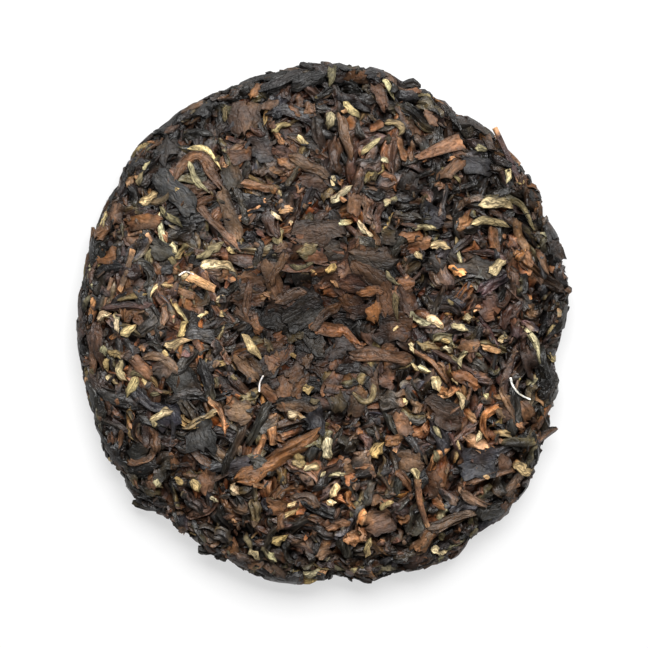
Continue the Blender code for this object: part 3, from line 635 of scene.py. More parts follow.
# ---------------------------------------------------------------- the leaves that the photograph shows
# Kind, colour, then each leaf: its width in pixels, and the points that it runs through, in pixels of the
# photograph.
MARKED_LEAVES = (
    ("flake", "black", (
        (26, 288, 322, 304, 313, 321, 306), (20, 408, 170, 408, 194),
        (20, 318, 296, 300, 300), (18, 97, 268, 96, 292),
    )),
    ("flake", "charcoal", (
        (28, 196, 424, 206, 450), (24, 166, 402, 173, 413, 170, 426), (22, 350, 255, 370, 262, 394, 258),
        (22, 176, 371, 195, 391), (20, 250, 146, 274, 156), (20, 168, 138, 168, 160),
        (20, 462, 262, 492, 272), (19, 424, 260, 444, 262), (18, 232, 166, 233, 190),
        (18, 129, 453, 138, 455, 147, 451), (18, 153, 246, 172, 254), (18, 326, 250, 344, 250),
        (16, 155, 372, 165, 367, 175, 372), (16, 312, 410, 318, 431), (16, 462, 163, 492, 168),
        (15, 228, 468, 250, 461),
    )),
    ("flake", "slate", (
        (26, 460, 463, 476, 462, 495, 458), (22, 330, 350, 339, 347, 350, 350),
        (20, 157, 172, 175, 192, 196, 214), (17, 421, 212, 443, 222), (16, 379, 235, 396, 240),
    )),
    ("flake", "umber", (
        (26, 246, 102, 244, 133), (24, 296, 236, 318, 230, 340, 236), (22, 432, 408, 461, 420),
        (22, 367, 526, 393, 514), (20, 482, 298, 494, 314), (20, 226, 405, 250, 414),
        (18, 352, 264, 370, 275, 385, 284), (18, 433, 471, 427, 493), (17, 530, 350, 533, 373),
        (16, 403, 288, 407, 314), (14, 127, 223, 143, 223, 161, 222), (14, 300, 180, 328, 186),
        (13, 230, 160, 252, 153), (10, 275, 250, 283, 245, 292, 250),
    )),
    ("flake", "brown", (
        (18, 399, 458, 421, 462), (16, 288, 378, 303, 368), (15, 119, 203, 114, 224),
        (15, 521, 402, 531, 419), (13, 222, 190, 230, 212, 238, 240), (12, 407, 124, 417, 135),
        (12, 426, 112, 438, 123), (12, 238, 356, 258, 380), (12, 503, 455, 506, 471),
        (12, 440, 180, 462, 160), (11, 236, 507, 242, 510, 248, 507), (11, 264, 110, 275, 102),
        (9, 537, 250, 549, 272),
    )),
    ("flake", "red_brown", (
        (15, 207, 469, 206, 492), (14, 268, 504, 285, 508), (13, 354, 193, 354, 216),
        (13, 397, 412, 407, 434), (12, 372, 86, 381, 95, 386, 108), (11, 457, 347, 478, 345),
        (11, 134, 358, 152, 377), (11, 262, 385, 277, 398),
    )),
    ("flake", "rust", (
        (15, 383, 284, 387, 314), (15, 373, 303, 374, 322), (14, 552, 266, 567, 276),
        (14, 347, 534, 361, 541), (14, 98, 257, 108, 258, 118, 252), (12, 453, 372, 478, 386),
        (12, 431, 530, 417, 550), (12, 311, 329, 325, 327, 345, 331), (11, 517, 219, 521, 236, 529, 252),
        (10, 408, 250, 430, 241), (10, 350, 117, 348, 131), (10, 403, 238, 422, 236),
        (10, 234, 543, 233, 552, 226, 559), (9, 252, 98, 256, 90, 261, 87), (9, 492, 228, 494, 250),
        (9, 547, 430, 557, 420), (9, 345, 480, 355, 474), (8, 525, 180, 536, 194), (8, 100, 400, 103, 415),
        (8, 276, 352, 276, 371), (8, 428, 517, 432, 519, 437, 518), (8, 268, 356, 273, 368),
        (7, 370, 130, 383, 122),
    )),
    ("flake", "olive", (
        (8, 146, 150, 156, 136), (7, 180, 119, 208, 102), (7, 103, 226, 109, 205),
    )),
    ("flake", "tan", (
        (13, 536, 393, 549, 406), (12, 466, 440, 486, 447), (9, 133, 158, 137, 179),
        (8, 364, 508, 359, 523), (7, 262, 298, 271, 292),
    )),
    ("wedge", "red_brown", (
        (20, 417, 159, 438, 149, 462, 139),
    )),
    ("lump", "umber", (
        (9, 511, 312, 520, 324),
    )),
    ("lump", "brown", (
        (11, 152, 480, 154, 494), (10, 308, 356, 305, 368), (10, 527, 308, 535, 317),
        (10, 416, 401, 419, 412), (9, 277, 250, 288, 246),
    )),
    ("lump", "red_brown", (
        (10, 252, 318, 262, 333),
    )),
    ("lump", "rust", (
        (12, 353, 345, 365, 347), (10, 384, 441, 392, 438, 401, 440), (10, 489, 428, 491, 439),
        (9, 270, 356, 280, 361), (8, 438, 387, 447, 394), (8, 432, 501, 444, 505),
    )),
    ("lump", "olive", (
        (13, 299, 253, 315, 248), (12, 254, 500, 258, 522), (12, 434, 341, 443, 336, 452, 343),
        (10, 277, 228, 280, 245), (9, 418, 345, 437, 346), (7, 266, 340, 272, 350),
    )),
    ("lump", "tan", (
        (9, 449, 268, 463, 274), (8, 279, 212, 292, 209), (8, 465, 411, 474, 419),
        (6, 361, 528, 365, 534, 362, 541),
    )),
    ("long_roll", "black", (
        (14, 262, 88, 285, 80, 308, 71), (12, 293, 88, 310, 80, 330, 72), (11, 336, 96, 352, 99, 370, 110),
        (10, 246, 424, 234, 448, 224, 474), (9, 131, 503, 157, 513), (9, 292, 84, 308, 80, 326, 76),
        (8, 500, 445, 520, 441, 541, 441),
    )),
    ("long_roll", "charcoal", (
        (11, 452, 511, 476, 506), (10, 318, 116, 317, 132, 320, 150), (10, 270, 403, 260, 422, 250, 444),
        (9, 372, 480, 364, 506),
    )),
    ("long_roll", "umber", (
        (14, 95, 325, 92, 345, 93, 372), (12, 337, 138, 333, 155, 334, 174),
        (10, 311, 330, 322, 315, 338, 303), (9, 103, 310, 125, 307, 152, 305),
        (8, 99, 325, 101, 345, 103, 370), (8, 399, 106, 407, 128), (7, 250, 280, 248, 312),
    )),
    ("long_roll", "brown", (
        (11, 288, 158, 306, 166, 329, 178), (11, 341, 116, 346, 135, 352, 160),
        (10, 428, 526, 452, 520, 480, 515), (9, 499, 388, 506, 403, 514, 421),
        (8, 200, 207, 220, 228, 241, 249), (8, 143, 359, 156, 356, 170, 360, 179, 370),
        (8, 461, 491, 480, 505, 500, 510, 512, 508), (7, 204, 103, 182, 114), (7, 412, 142, 408, 160),
        (6, 183, 472, 191, 478, 197, 474),
    )),
    ("long_roll", "red_brown", (
        (13, 350, 355, 380, 353, 412, 361),
        (12, 177, 183, 183, 165, 195, 154, 207, 160, 213, 174, 221, 188), (9, 174, 288, 196, 297),
        (9, 396, 470, 409, 488), (8, 241, 184, 258, 187, 276, 189), (8, 397, 140, 406, 160),
        (8, 327, 531, 349, 520), (7, 127, 460, 138, 463, 149, 459, 156, 450), (7, 122, 430, 117, 462),
        (7, 464, 484, 490, 477, 516, 470), (6, 381, 175, 391, 177, 396, 192),
        (6, 412, 350, 430, 361, 447, 383),
    )),
    ("long_roll", "rust", (
        (16, 238, 476, 262, 467, 292, 449, 320, 430), (10, 358, 292, 384, 291),
        (9, 325, 328, 345, 331, 360, 345), (9, 497, 408, 483, 412, 482, 424, 487, 438),
        (5, 288, 254, 280, 268, 267, 283),
    )),
    ("long_roll", "olive", (
        (8, 485, 197, 510, 199, 528, 208, 538, 228), (5, 119, 300, 149, 294),
        (5, 352, 392, 362, 402, 372, 398, 374, 384), (5, 302, 568, 329, 563),
        (4, 84, 262, 81, 290, 79, 320),
    )),
    ("roll", "black", (
        (9, 338, 373, 350, 366, 362, 369), (9, 342, 384, 357, 380), (8, 361, 364, 371, 375),
    )),
    ("roll", "brown", (
        (12, 377, 76, 388, 77, 398, 88), (11, 275, 301, 307, 292),
        (9, 291, 497, 303, 494, 313, 500, 319, 505), (9, 232, 524, 247, 524),
        (7, 285, 255, 277, 268, 271, 286), (7, 166, 303, 166, 324),
    )),
    ("roll", "red_brown", (
        (12, 303, 110, 316, 113), (9, 154, 428, 157, 452), (8, 403, 92, 424, 89), (8, 172, 452, 176, 469),
        (8, 281, 160, 294, 170), (8, 283, 511, 278, 530), (8, 181, 526, 181, 537), (7, 299, 96, 300, 108),
        (7, 271, 169, 284, 176), (7, 526, 252, 529, 268), (7, 250, 284, 246, 300, 248, 318),
    )),
    ("roll", "rust", (
        (11, 456, 228, 465, 224, 472, 213), (10, 397, 520, 403, 520, 408, 517), (8, 519, 422, 524, 433),
        (8, 354, 469, 363, 464, 372, 469), (7, 289, 107, 300, 119), (7, 256, 456, 266, 435),
    )),
    ("roll", "tan", (
        (7, 253, 479, 264, 488), (6, 126, 186, 132, 176), (6, 480, 346, 500, 352),
    )),
    ("stem", "brown", (
        (7, 134, 250, 128, 271, 121, 291), (7, 499, 131, 508, 148, 518, 166),
    )),
    ("stem", "red_brown", (
        (7, 417, 478, 418, 500, 427, 526),
    )),
    ("stem", "rust", (
        (9, 272, 427, 274, 444),
    )),
    ("stem", "tan", (
        (10, 190, 276, 216, 289),
    )),
    ("bud", "olive", (
        (6, 139, 186, 144, 172), (6, 372, 182, 375, 178, 374, 172), (6, 160, 207, 184, 228),
        (6, 384, 124, 397, 122, 404, 130, 398, 137), (6, 311, 402, 320, 399), (5, 226, 108, 225, 122),
        (5, 394, 292, 397, 322), (5, 246, 535, 252, 553), (5, 262, 546, 275, 563), (5, 443, 532, 442, 543),
        (5, 433, 450, 437, 462), (4, 290, 265, 300, 270, 314, 263), (4, 386, 271, 390, 280, 400, 286),
        (4, 150, 394, 175, 391), (4, 380, 508, 384, 502, 395, 500), (4, 232, 375, 238, 380),
        (4, 433, 425, 440, 437),
    )),
    ("bud", "tan", (
        (5, 341, 113, 350, 110), (4, 330, 280, 338, 288),
    )),
    ("bud", "pale", (
        (9, 330, 67, 332, 77, 329, 87), (8, 122, 335, 131, 331, 137, 324), (8, 332, 113, 328, 131),
        (7, 198, 259, 225, 242), (7, 475, 148, 489, 149), (7, 470, 225, 483, 219, 497, 223, 511, 226),
        (7, 409, 313, 417, 322, 427, 325, 434, 318), (6, 522, 326, 535, 337, 542, 350, 542, 366),
        (6, 105, 345, 107, 356), (6, 190, 162, 195, 180, 210, 194), (6, 382, 82, 390, 87, 396, 97),
        (6, 510, 168, 505, 185), (6, 173, 242, 178, 254), (6, 114, 312, 121, 324), (6, 304, 469, 321, 465),
        (5, 466, 352, 458, 358, 460, 367), (5, 380, 161, 384, 160, 388, 165),
        (5, 338, 224, 345, 225, 354, 219), (5, 483, 393, 489, 402), (5, 159, 476, 162, 489),
        (5, 270, 550, 277, 560), (5, 302, 572, 331, 571), (4, 144, 170, 151, 162), (4, 546, 229, 553, 241),
        (4, 97, 424, 99, 433), (4, 502, 517, 511, 510), (4, 417, 366, 430, 371),
    )),
    ("bud", "gold", (
        (10, 371, 456, 383, 441), (9, 272, 543, 288, 534), (9, 300, 452, 301, 467),
        (9, 514, 466, 523, 470, 533, 465), (8, 138, 377, 127, 398), (8, 303, 387, 308, 389, 314, 387),
        (8, 551, 352, 557, 362), (7, 110, 355, 117, 352, 122, 358), (7, 183, 337, 182, 328, 190, 321),
        (6, 273, 133, 282, 126, 292, 126), (6, 361, 156, 380, 139), (6, 344, 103, 359, 119),
        (6, 455, 391, 462, 400, 460, 409), (6, 293, 570, 298, 577, 312, 578, 331, 575),
        (6, 328, 274, 335, 264), (6, 371, 537, 365, 557), (5, 171, 299, 190, 323), (5, 108, 212, 101, 230),
        (5, 188, 149, 204, 148, 212, 155, 222, 171), (5, 516, 178, 522, 186), (5, 228, 248, 236, 254),
        (5, 108, 358, 108, 372), (5, 292, 460, 302, 466),
    )),
    ("bud", "cream", (
        (10, 487, 273, 504, 261), (9, 166, 346, 193, 340), (9, 477, 206, 490, 205, 502, 203, 513, 208),
        (9, 426, 317, 437, 320, 443, 331), (9, 193, 479, 197, 494), (9, 231, 484, 240, 493),
        (8, 139, 202, 158, 193), (8, 202, 266, 213, 262, 226, 266, 236, 272), (8, 461, 318, 476, 319),
        (8, 124, 361, 118, 372, 128, 380), (8, 289, 417, 298, 414, 306, 417), (8, 325, 437, 330, 461),
        (8, 433, 376, 438, 391), (7, 429, 248, 437, 244, 449, 249), (7, 100, 322, 106, 315, 112, 313),
        (7, 151, 420, 160, 413, 174, 410), (7, 242, 334, 263, 360), (7, 497, 341, 509, 338),
        (7, 337, 482, 331, 497), (7, 431, 549, 447, 550), (6, 479, 431, 475, 441), (6, 217, 301, 226, 296),
        (6, 331, 203, 352, 187), (6, 383, 203, 391, 203), (6, 415, 252, 421, 260), (6, 450, 325, 467, 330),
        (6, 250, 549, 260, 559), (6, 413, 466, 418, 479), (5, 106, 376, 118, 384), (5, 117, 318, 120, 333),
        (5, 358, 221, 362, 230, 373, 237), (5, 412, 229, 425, 227, 439, 232), (5, 155, 419, 156, 427),
        (5, 410, 342, 413, 353), (5, 442, 347, 452, 353), (4, 271, 212, 283, 222), (4, 211, 496, 217, 504),
        (4, 287, 505, 297, 500),
    )),
    ("crumb", "rust", (
        (8, 253, 322, 258, 328), (7, 332, 424, 338, 430), (6, 456, 535, 460, 528), (5, 492, 410, 501, 409),
    )),
    ("crumb", "tan", (
        (8, 263, 293, 270, 297), (6, 340, 198, 345, 202), (6, 232, 520, 236, 523),
    )),
    ("crumb", "gold", (
        (8, 176, 477, 182, 484), (7, 291, 353, 297, 356), (7, 165, 351, 169, 356), (7, 441, 339, 448, 342),
        (6, 402, 399, 407, 402),
    )),
    ("crumb", "cream", (
        (9, 328, 499, 335, 503), (8, 297, 138, 307, 146), (7, 333, 177, 333, 187), (7, 200, 317, 208, 312),
        (6, 144, 379, 148, 385), (6, 393, 330, 398, 326), (5, 311, 270, 316, 276), (5, 451, 378, 457, 384),
        (5, 483, 475, 489, 477),
    )),
)

# Stray threads of the pressing cloth: width in millimetres, and points in the same pixels.
THREADS = (
    (0.9, ((180, 276), (187, 271), (195, 275))),
    (0.9, ((264, 375), (260, 382), (260, 391))),
    (1.2, ((508, 377), (511, 386), (518, 394), (529, 399))),
)
# Which piece of the cake a leaf of each kind belongs to. The others are brown_leaves.
PIECE_OF_KIND = {
    "flake": "leaf_flakes",
    "wedge": "leaf_flakes",
    "stem": "leaf_stalks",
    "bud": "golden_buds",
    "crumb": "leaf_crumbs",
}
# How wide each kind is made for the width that is marked, and how far it is lifted, so that it shows.
MARK_WIDTHS = {"crumb": 0.8, "stem": 1.05, "bud": 1.18}
MARK_LIFTS = {"bud": 0.8, "stem": 0.5, "wedge": 0.5}
OTHER_MARK_WIDTH = 1.1
OTHER_MARK_LIFT = 0.15
# The broad dark leaves lie under the rest.
BROAD = {"flake", "lump"}
BROAD_COLOURS = {"black", "charcoal", "slate", "umber", "olive"}


def photo_run(pile, spots, kind):
    """The run of a leaf on a pile's flat map through points given in pixels of the photograph."""
    spots = np.array(spots, float)
    x = (spots[:, 0] - PHOTO_MIDDLE[0]) * PHOTO_PIXEL + DISC_MIDDLE[0]
    y = (PHOTO_MIDDLE[1] - spots[:, 1]) * PHOTO_PIXEL + DISC_MIDDLE[1]
    return line_through(pile.skin.from_space(x, y), kind.u)


def mark_leaves(batches, pile, draw, broad):
    """Lays the marked leaves on the upper pile: the broad ones, or what lies over them."""
    for kind_name, colour, leaves in MARKED_LEAVES:
        if (kind_name in BROAD and colour in BROAD_COLOURS) != broad:
            continue
        batch = batches[PIECE_OF_KIND.get(kind_name, "brown_leaves")]
        ends = "tan" if kind_name == "stem" else None
        lift = MARK_LIFTS.get(kind_name, OTHER_MARK_LIFT)
        for width, *spots in leaves:
            run = photo_run(pile, np.reshape(spots, (-1, 2)), KINDS[kind_name])
            wide = width * PHOTO_PIXEL * MARK_WIDTHS.get(kind_name, OTHER_MARK_WIDTH)
            drop(batch, kind_name, pile, draw, run, wide, colour, ends, mottle=0.16, lift=lift, mixed=0.45)


LENGTH_LIMITS = (0.45, 2.4)  # as shares of the middle length
WIDTH_LIMITS = (0.5, 2.0)
LEAST_SWING = 0.35  # how far from the way round the cake leaves may turn at its rim
LARGEST_BEND = 3.2
CUT_STALKS = 0.4  # the share of stalks with pale cut ends


def random_size(draw, middle, spread, least, most):
    """A random size round a middle one, kept between two shares of it."""
    return np.clip(middle * np.exp(draw.normal(0, spread)), middle * least, middle * most)


def scatter(batch, kind_name, pile, draw, count, lengths, widths, colours, bow, wander, inner, outer, tries):
    """Drops count pieces of one kind where the pile is lowest, between two distances from the middle.

    lengths and widths give a middle size and its spread. bow is how much the pieces bend, and wander how far
    they turn this way and that.
    """
    kind = KINDS[kind_name]
    names = list(colours)
    weights = np.array([colours[name] for name in names], float)
    weights /= weights.sum()
    for _ in range(count):
        place = pile.low_place(draw, inner, outer, tries)
        around = math.atan2(place[1], place[0]) + math.pi / 2
        # Towards the rim the leaves lie more and more round the cake.
        swing = math.pi / 2
        if outer > pile.skin.rim:
            swing = max(LEAST_SWING, swing * (1 - 0.7 * (math.hypot(*place) / pile.skin.rim) ** 8))
        heading = around + draw.uniform(-swing, swing)
        length = random_size(draw, *lengths, *LENGTH_LIMITS)
        width = random_size(draw, *widths, *WIDTH_LIMITS)
        turn = np.clip(draw.standard_t(3) * 0.6 * bow, -LARGEST_BEND, LARGEST_BEND)
        run = bent_line(draw, place, heading, length, turn, wander, kind.u)
        colour = names[draw.choice(len(names), p=weights)]
        ends = "tan" if kind_name == "stem" and draw.random() < CUT_STALKS else None
        drop(batch, kind_name, pile, draw, run, width, colour, ends)


# ---------------------------------------------------------------- meshes


def quad_faces(count, stations, around):
    """Faces of count tubes with capped ends, over points in tube, station, around order."""
    tube = np.arange(count)[:, None, None] * stations * around
    station = np.arange(stations - 1)[None, :, None] * around
    ring = np.arange(around)[None, None, :]
    following = (ring + 1) % around
    here = tube + station + ring
    after = tube + station + following
    quads = np.stack((here, here + around, after + around, after), axis=-1).reshape(-1, 4)
    first = tube[:, 0, :] + np.arange(around)[None, :]
    last = tube[:, 0, :] + (stations - 1) * around + np.arange(around)[None, ::-1]
    return quads, np.concatenate((first, last))


def bake_cells(count):
    """Lower left corners and size of as many square cells of the unit square."""
    side = math.ceil(math.sqrt(count))
    index = np.arange(count)
    return np.stack((index % side, index // side), axis=-1) / side, 1 / side


# In its cell of the bake map a tube's sides lie between margins, and its end caps in the margins along it.
ALONG_MARGIN = 0.08
AROUND_MARGIN = 0.04
CAP_RADII = (0.025, 0.4)


def tube_uvs(kind, corners, size):
    """Corners of each face of the tubes in the bake map: one cell a tube, in the order of quad_faces."""
    along = ALONG_MARGIN + (1 - 2 * ALONG_MARGIN) * kind.u
    across = 1 - 2 * AROUND_MARGIN
    lower = AROUND_MARGIN + across * np.arange(kind.around) / kind.around
    upper = lower + across / kind.around
    quads = np.empty((kind.stations - 1, kind.around, 4, 2))
    quads[..., 0, 0] = quads[..., 3, 0] = along[:-1, None]
    quads[..., 1, 0] = quads[..., 2, 0] = along[1:, None]
    quads[..., 0, 1] = quads[..., 1, 1] = lower[None, :]
    quads[..., 2, 1] = quads[..., 3, 1] = upper[None, :]
    turn = math.tau * np.arange(kind.around) / kind.around
    cap_along = ALONG_MARGIN / 2 + CAP_RADII[0] * np.cos(turn)
    cap = np.stack((cap_along, 0.5 + CAP_RADII[1] * np.sin(turn)), axis=-1)
    caps = (cap, np.stack((1 - cap[::-1, 0], cap[::-1, 1]), axis=-1))
    body = corners[:, None, :] + size * quads.reshape(1, -1, 2)
    ends = [corners[:, None, :] + size * end[None] for end in caps]
    return np.concatenate((body.reshape(-1, 2), ends[0].reshape(-1, 2), ends[1].reshape(-1, 2)))


def mesh_object(name, points, loops, sizes, tint, grain, uvs, material, crease):
    """A smooth-shaded mesh object with its colours, the run of its grain and a bake map."""
    mesh = bpy.data.meshes.new(name)
    mesh.vertices.add(len(points))
    mesh.vertices.foreach_set("co", (points * MM).astype(np.float32).ravel())
    mesh.loops.add(len(loops))
    mesh.loops.foreach_set("vertex_index", loops.astype(np.int32))
    mesh.polygons.add(len(sizes))
    starts = np.concatenate(([0], np.cumsum(sizes)[:-1]))
    mesh.polygons.foreach_set("loop_start", starts.astype(np.int32))
    mesh.update(calc_edges=True)
    colours = np.concatenate((tint, np.ones((len(tint), 1))), axis=1)
    tint_layer = mesh.attributes.new("tint", "FLOAT_COLOR", "POINT")
    tint_layer.data.foreach_set("color", colours.astype(np.float32).ravel())
    grain_layer = mesh.attributes.new("grain", "FLOAT_VECTOR", "POINT")
    grain_layer.data.foreach_set("vector", grain.astype(np.float32).ravel())
    bake_layer = mesh.uv_layers.new(name="OFBake")
    bake_layer.data.foreach_set("uv", uvs.astype(np.float32).ravel())
    mesh.validate()
    mesh.shade_smooth()
    mesh.set_sharp_from_angle(angle=math.radians(crease))
    mesh.materials.append(material)
    thing = bpy.data.objects.new(name, mesh)
    bpy.context.scene.collection.objects.link(thing)
    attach(thing, BODY)
    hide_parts(NODE)


def batch_object(batch, crease=48):
    """Makes one object of the pieces in a batch that show. Edges above crease, in degrees, stay sharp."""
    points, loops, sizes, tints, grains, uvs = [], [], [], [], [], []
    shown = [each for each in batch.pieces if each.pile is None or each.pile.shows(each.flat, each.height)]
    corners, cell = bake_cells(len(shown))
    points_before = 0
    tubes_before = 0
    for kind_name, kind in KINDS.items():
        chosen = [each for each in shown if each.kind_name == kind_name]
        if not chosen:
            continue
        for _, pile, flat, height, tint, grain in chosen:
            if pile:
                proud = pile.pressed(flat, height)
                # Painted shade deep in the pile, redder there, and painted light on its top.
                light = np.interp(proud, *zip(*PAINTED_LIGHT_AND_SHADE_BY_HEIGHT))[..., None]
                tint = tint * np.where(light < 1, light**PAINTED_SHADE_REDNESS, light)
                flat = pile.skin.to_space(flat, proud)
            points.append(flat.reshape(-1, 3))
            tints.append(tint.reshape(-1, 3))
            grains.append(grain.reshape(-1, 3))
        quads, caps = quad_faces(len(chosen), kind.stations, kind.around)
        loops += [quads.ravel() + points_before, caps.ravel() + points_before]
        sizes += [np.full(len(quads), 4), np.full(len(caps), kind.around)]
        uvs.append(tube_uvs(kind, corners[tubes_before : tubes_before + len(chosen)], cell))
        points_before += len(chosen) * kind.stations * kind.around
        tubes_before += len(chosen)
    arrays = [np.concatenate(values) for values in (points, loops, sizes, tints, grains, uvs)]
    mesh_object(batch.name, *arrays, batch.material, crease)


# ---------------------------------------------------------------- materials


class Nodes:
    """Short ways to build a material's node tree."""

    def __init__(self, name):
        self.material = bpy.data.materials.new(name)
        self.material.use_nodes = True
        self.tree = self.material.node_tree
        self.shader = self.tree.nodes["Principled BSDF"]

    def new(self, kind, **settings):
        node = self.tree.nodes.new("ShaderNode" + kind)
        for key, value in settings.items():
            setattr(node, key, value)
        return node

    def link(self, source, target):
        self.tree.links.new(source, target)

    def attribute(self, name):
        return self.new("Attribute", attribute_name=name)

    def stretched(self, vector, scale):
        """A vector times a fixed one."""
        node = self.new("VectorMath", operation="MULTIPLY")
        self.link(vector, node.inputs[0])
        node.inputs[1].default_value = scale
        return node.outputs["Vector"]

    def noise(self, vector, scale, detail, roughness=0.55):
        node = self.new("TexNoise")
        node.inputs["Scale"].default_value = scale
        node.inputs["Detail"].default_value = detail
        node.inputs["Roughness"].default_value = roughness
        self.link(vector, node.inputs["Vector"])
        return node.outputs["Fac"]

    def ramp(self, value, low, high, to_low, to_high):
        """A value taken from one range to another, and kept in it."""
        node = self.new("MapRange")
        for key, number in (("From Min", low), ("From Max", high), ("To Min", to_low), ("To Max", to_high)):
            node.inputs[key].default_value = number
        self.link(value, node.inputs["Value"])
        return node.outputs["Result"]

    def times(self, first, second):
        node = self.new("Math", operation="MULTIPLY")
        for socket, value in zip(node.inputs, (first, second)):
            if isinstance(value, float):
                socket.default_value = value
            else:
                self.link(value, socket)
        return node.outputs["Value"]

    def mix(self, share, first, second, blend="MIX"):
        """The first colour with a share of the second over it."""
        node = self.new("MixRGB", blend_type=blend)
        for socket, value in zip(node.inputs, (share, first, second)):
            if isinstance(value, (float, tuple)):
                socket.default_value = value
            else:
                self.link(value, socket)
        return node.outputs["Color"]

    def lines(self, value, width):
        """0 along the lines where a noise crosses its middle, and 1 away from them."""
        centred = self.new("Math", operation="SUBTRACT")
        self.link(value, centred.inputs[0])
        centred.inputs[1].default_value = 0.5
        size = self.new("Math", operation="ABSOLUTE")
        self.link(centred.outputs["Value"], size.inputs[0])
        return self.ramp(size.outputs["Value"], 0.0, width, 0.0, 1.0)

    def wandering(self, vector, place, scale, reach):
        """A vector pushed about by a soft noise."""
        noise = self.new("TexNoise")
        noise.inputs["Scale"].default_value = scale
        noise.inputs["Detail"].default_value = 1.0
        self.link(place, noise.inputs["Vector"])
        centred = self.new("VectorMath", operation="SUBTRACT")
        self.link(noise.outputs["Color"], centred.inputs[0])
        centred.inputs[1].default_value = (0.5, 0.5, 0.5)
        added = self.new("VectorMath", operation="ADD")
        self.link(vector, added.inputs[0])
        self.link(self.stretched(centred.outputs["Vector"], (reach, reach, 0.0)), added.inputs[1])
        return added.outputs["Vector"]

    def bump(self, height, distance, strength, before=None):
        """The normals of a surface with a height map on it, and on what the bumps before it give."""
        node = self.new("Bump")
        node.inputs["Distance"].default_value = distance
        node.inputs["Strength"].default_value = strength
        self.link(height, node.inputs["Height"])
        if before is not None:
            self.link(before, node.inputs["Normal"])
        return node.outputs["Normal"]


DUST_COLOUR = (0.36, 0.31, 0.25, 1.0)
RUDDY_COLOUR = (1.2, 0.96, 0.6, 1.0)


def leaf_material(name, streaks, contrast, crease, dust, gloss, specular, ruddy=0.35):
    """Dried leaf: its tint, darker and paler along the grain, creased, with painted shade in the creases, a
    little dusty, with a satin sheen.

    streaks is how close the streaks lie, contrast how strong they are, crease how dark the painted shade in
    the creases is, gloss the lowest and highest roughness, and ruddy how far some patches turn reddish.
    """
    nodes = Nodes(name)
    tint = nodes.attribute("tint").outputs["Color"]
    place = nodes.new("TexCoord").outputs["Object"]
    grain = nodes.wandering(nodes.attribute("grain").outputs["Vector"], place, 300.0, 3.0)
    fine = nodes.noise(nodes.stretched(grain, (0.16, streaks, 1.0)), 1.0, 3.0)
    fold = nodes.lines(nodes.noise(nodes.stretched(grain, (0.12, 0.45 * streaks, 1.3)), 1.0, 1.0), 0.05)
    crumple = nodes.noise(place, 800.0, 3.0, 0.6)
    wrinkle = nodes.lines(nodes.noise(place, 380.0, 2.0), 0.035)
    speck = nodes.noise(place, 2600.0, 2.0, 0.7)
    patch = nodes.noise(place, 260.0, 2.0)
    shade = nodes.ramp(fine, 0.3, 0.7, 1 - contrast, 1 + contrast)
    shade = nodes.times(shade, nodes.ramp(crumple, 0.3, 0.7, 0.65, 1.35))
    shade = nodes.times(shade, nodes.ramp(nodes.noise(place, 110.0, 2.0), 0.3, 0.7, 0.55, 1.45))
    shade = nodes.times(shade, nodes.ramp(nodes.noise(place, 42.0, 0.0), 0.36, 0.64, 0.72, 1.28))
    # Painted shade along the folds and wrinkles, where the creases lie in shadow.
    shade = nodes.times(shade, nodes.ramp(fold, 0.0, 1.0, 1 - crease, 1.0))
    shade = nodes.times(shade, nodes.ramp(wrinkle, 0.0, 1.0, 1 - 0.45 * crease, 1.0))
    scaled = nodes.new("VectorMath", operation="SCALE")
    nodes.link(tint, scaled.inputs[0])
    nodes.link(shade, scaled.inputs["Scale"])
    dusty = nodes.times(nodes.ramp(speck, 0.56, 0.74, 0.0, 1.0), nodes.ramp(patch, 0.4, 0.7, 0.0, dust))
    colour = nodes.mix(dusty, scaled.outputs["Vector"], DUST_COLOUR)
    reddish = nodes.ramp(nodes.noise(place, 480.0, 3.0), 0.44, 0.62, 0.0, ruddy)
    colour = nodes.mix(reddish, colour, RUDDY_COLOUR, "MULTIPLY")
    nodes.link(colour, nodes.shader.inputs["Base Color"])
    nodes.link(nodes.ramp(crumple, 0.3, 0.7, *gloss), nodes.shader.inputs["Roughness"])
    normal = nodes.bump(fine, 0.001, 0.8)
    normal = nodes.bump(fold, 0.0003, 0.6, normal)
    normal = nodes.bump(wrinkle, 0.0002, 0.4, normal)
    normal = nodes.bump(crumple, 0.0004, 0.5, normal)
    nodes.link(normal, nodes.shader.inputs["Normal"])
    nodes.shader.inputs["Specular IOR Level"].default_value = specular
    return nodes.material


def core_material():
    """The dark inside of the cake, seen between the leaves: packed leaves, near black with painted shade of
    the deep gaps.
    """
    nodes = Nodes("packed_leaf_inside")
    place = nodes.new("TexCoord").outputs["Object"]
    lumps = nodes.noise(place, 420.0, 5.0, 0.65)
    share = nodes.ramp(lumps, 0.35, 0.7, 0.0, 1.0)
    colour = nodes.mix(share, (0.01, 0.005, 0.003, 1.0), (0.04, 0.023, 0.014, 1.0))
    nodes.link(colour, nodes.shader.inputs["Base Color"])
    nodes.shader.inputs["Roughness"].default_value = 0.8
    nodes.link(nodes.bump(lumps, 0.0012, 0.8), nodes.shader.inputs["Normal"])
    return nodes.material


# ---------------------------------------------------------------- the core
CORE_COVER = 0.4  # how far the core keeps under the ground of the pile
CORE_LOWEST = -6.0  # and how deep and how high it may lie, from the smooth section
CORE_HIGHEST = -1.2
CORE_MAP_SIDE = 230.0  # of the square that the core's bake map covers
CORE_TINT = 0.02


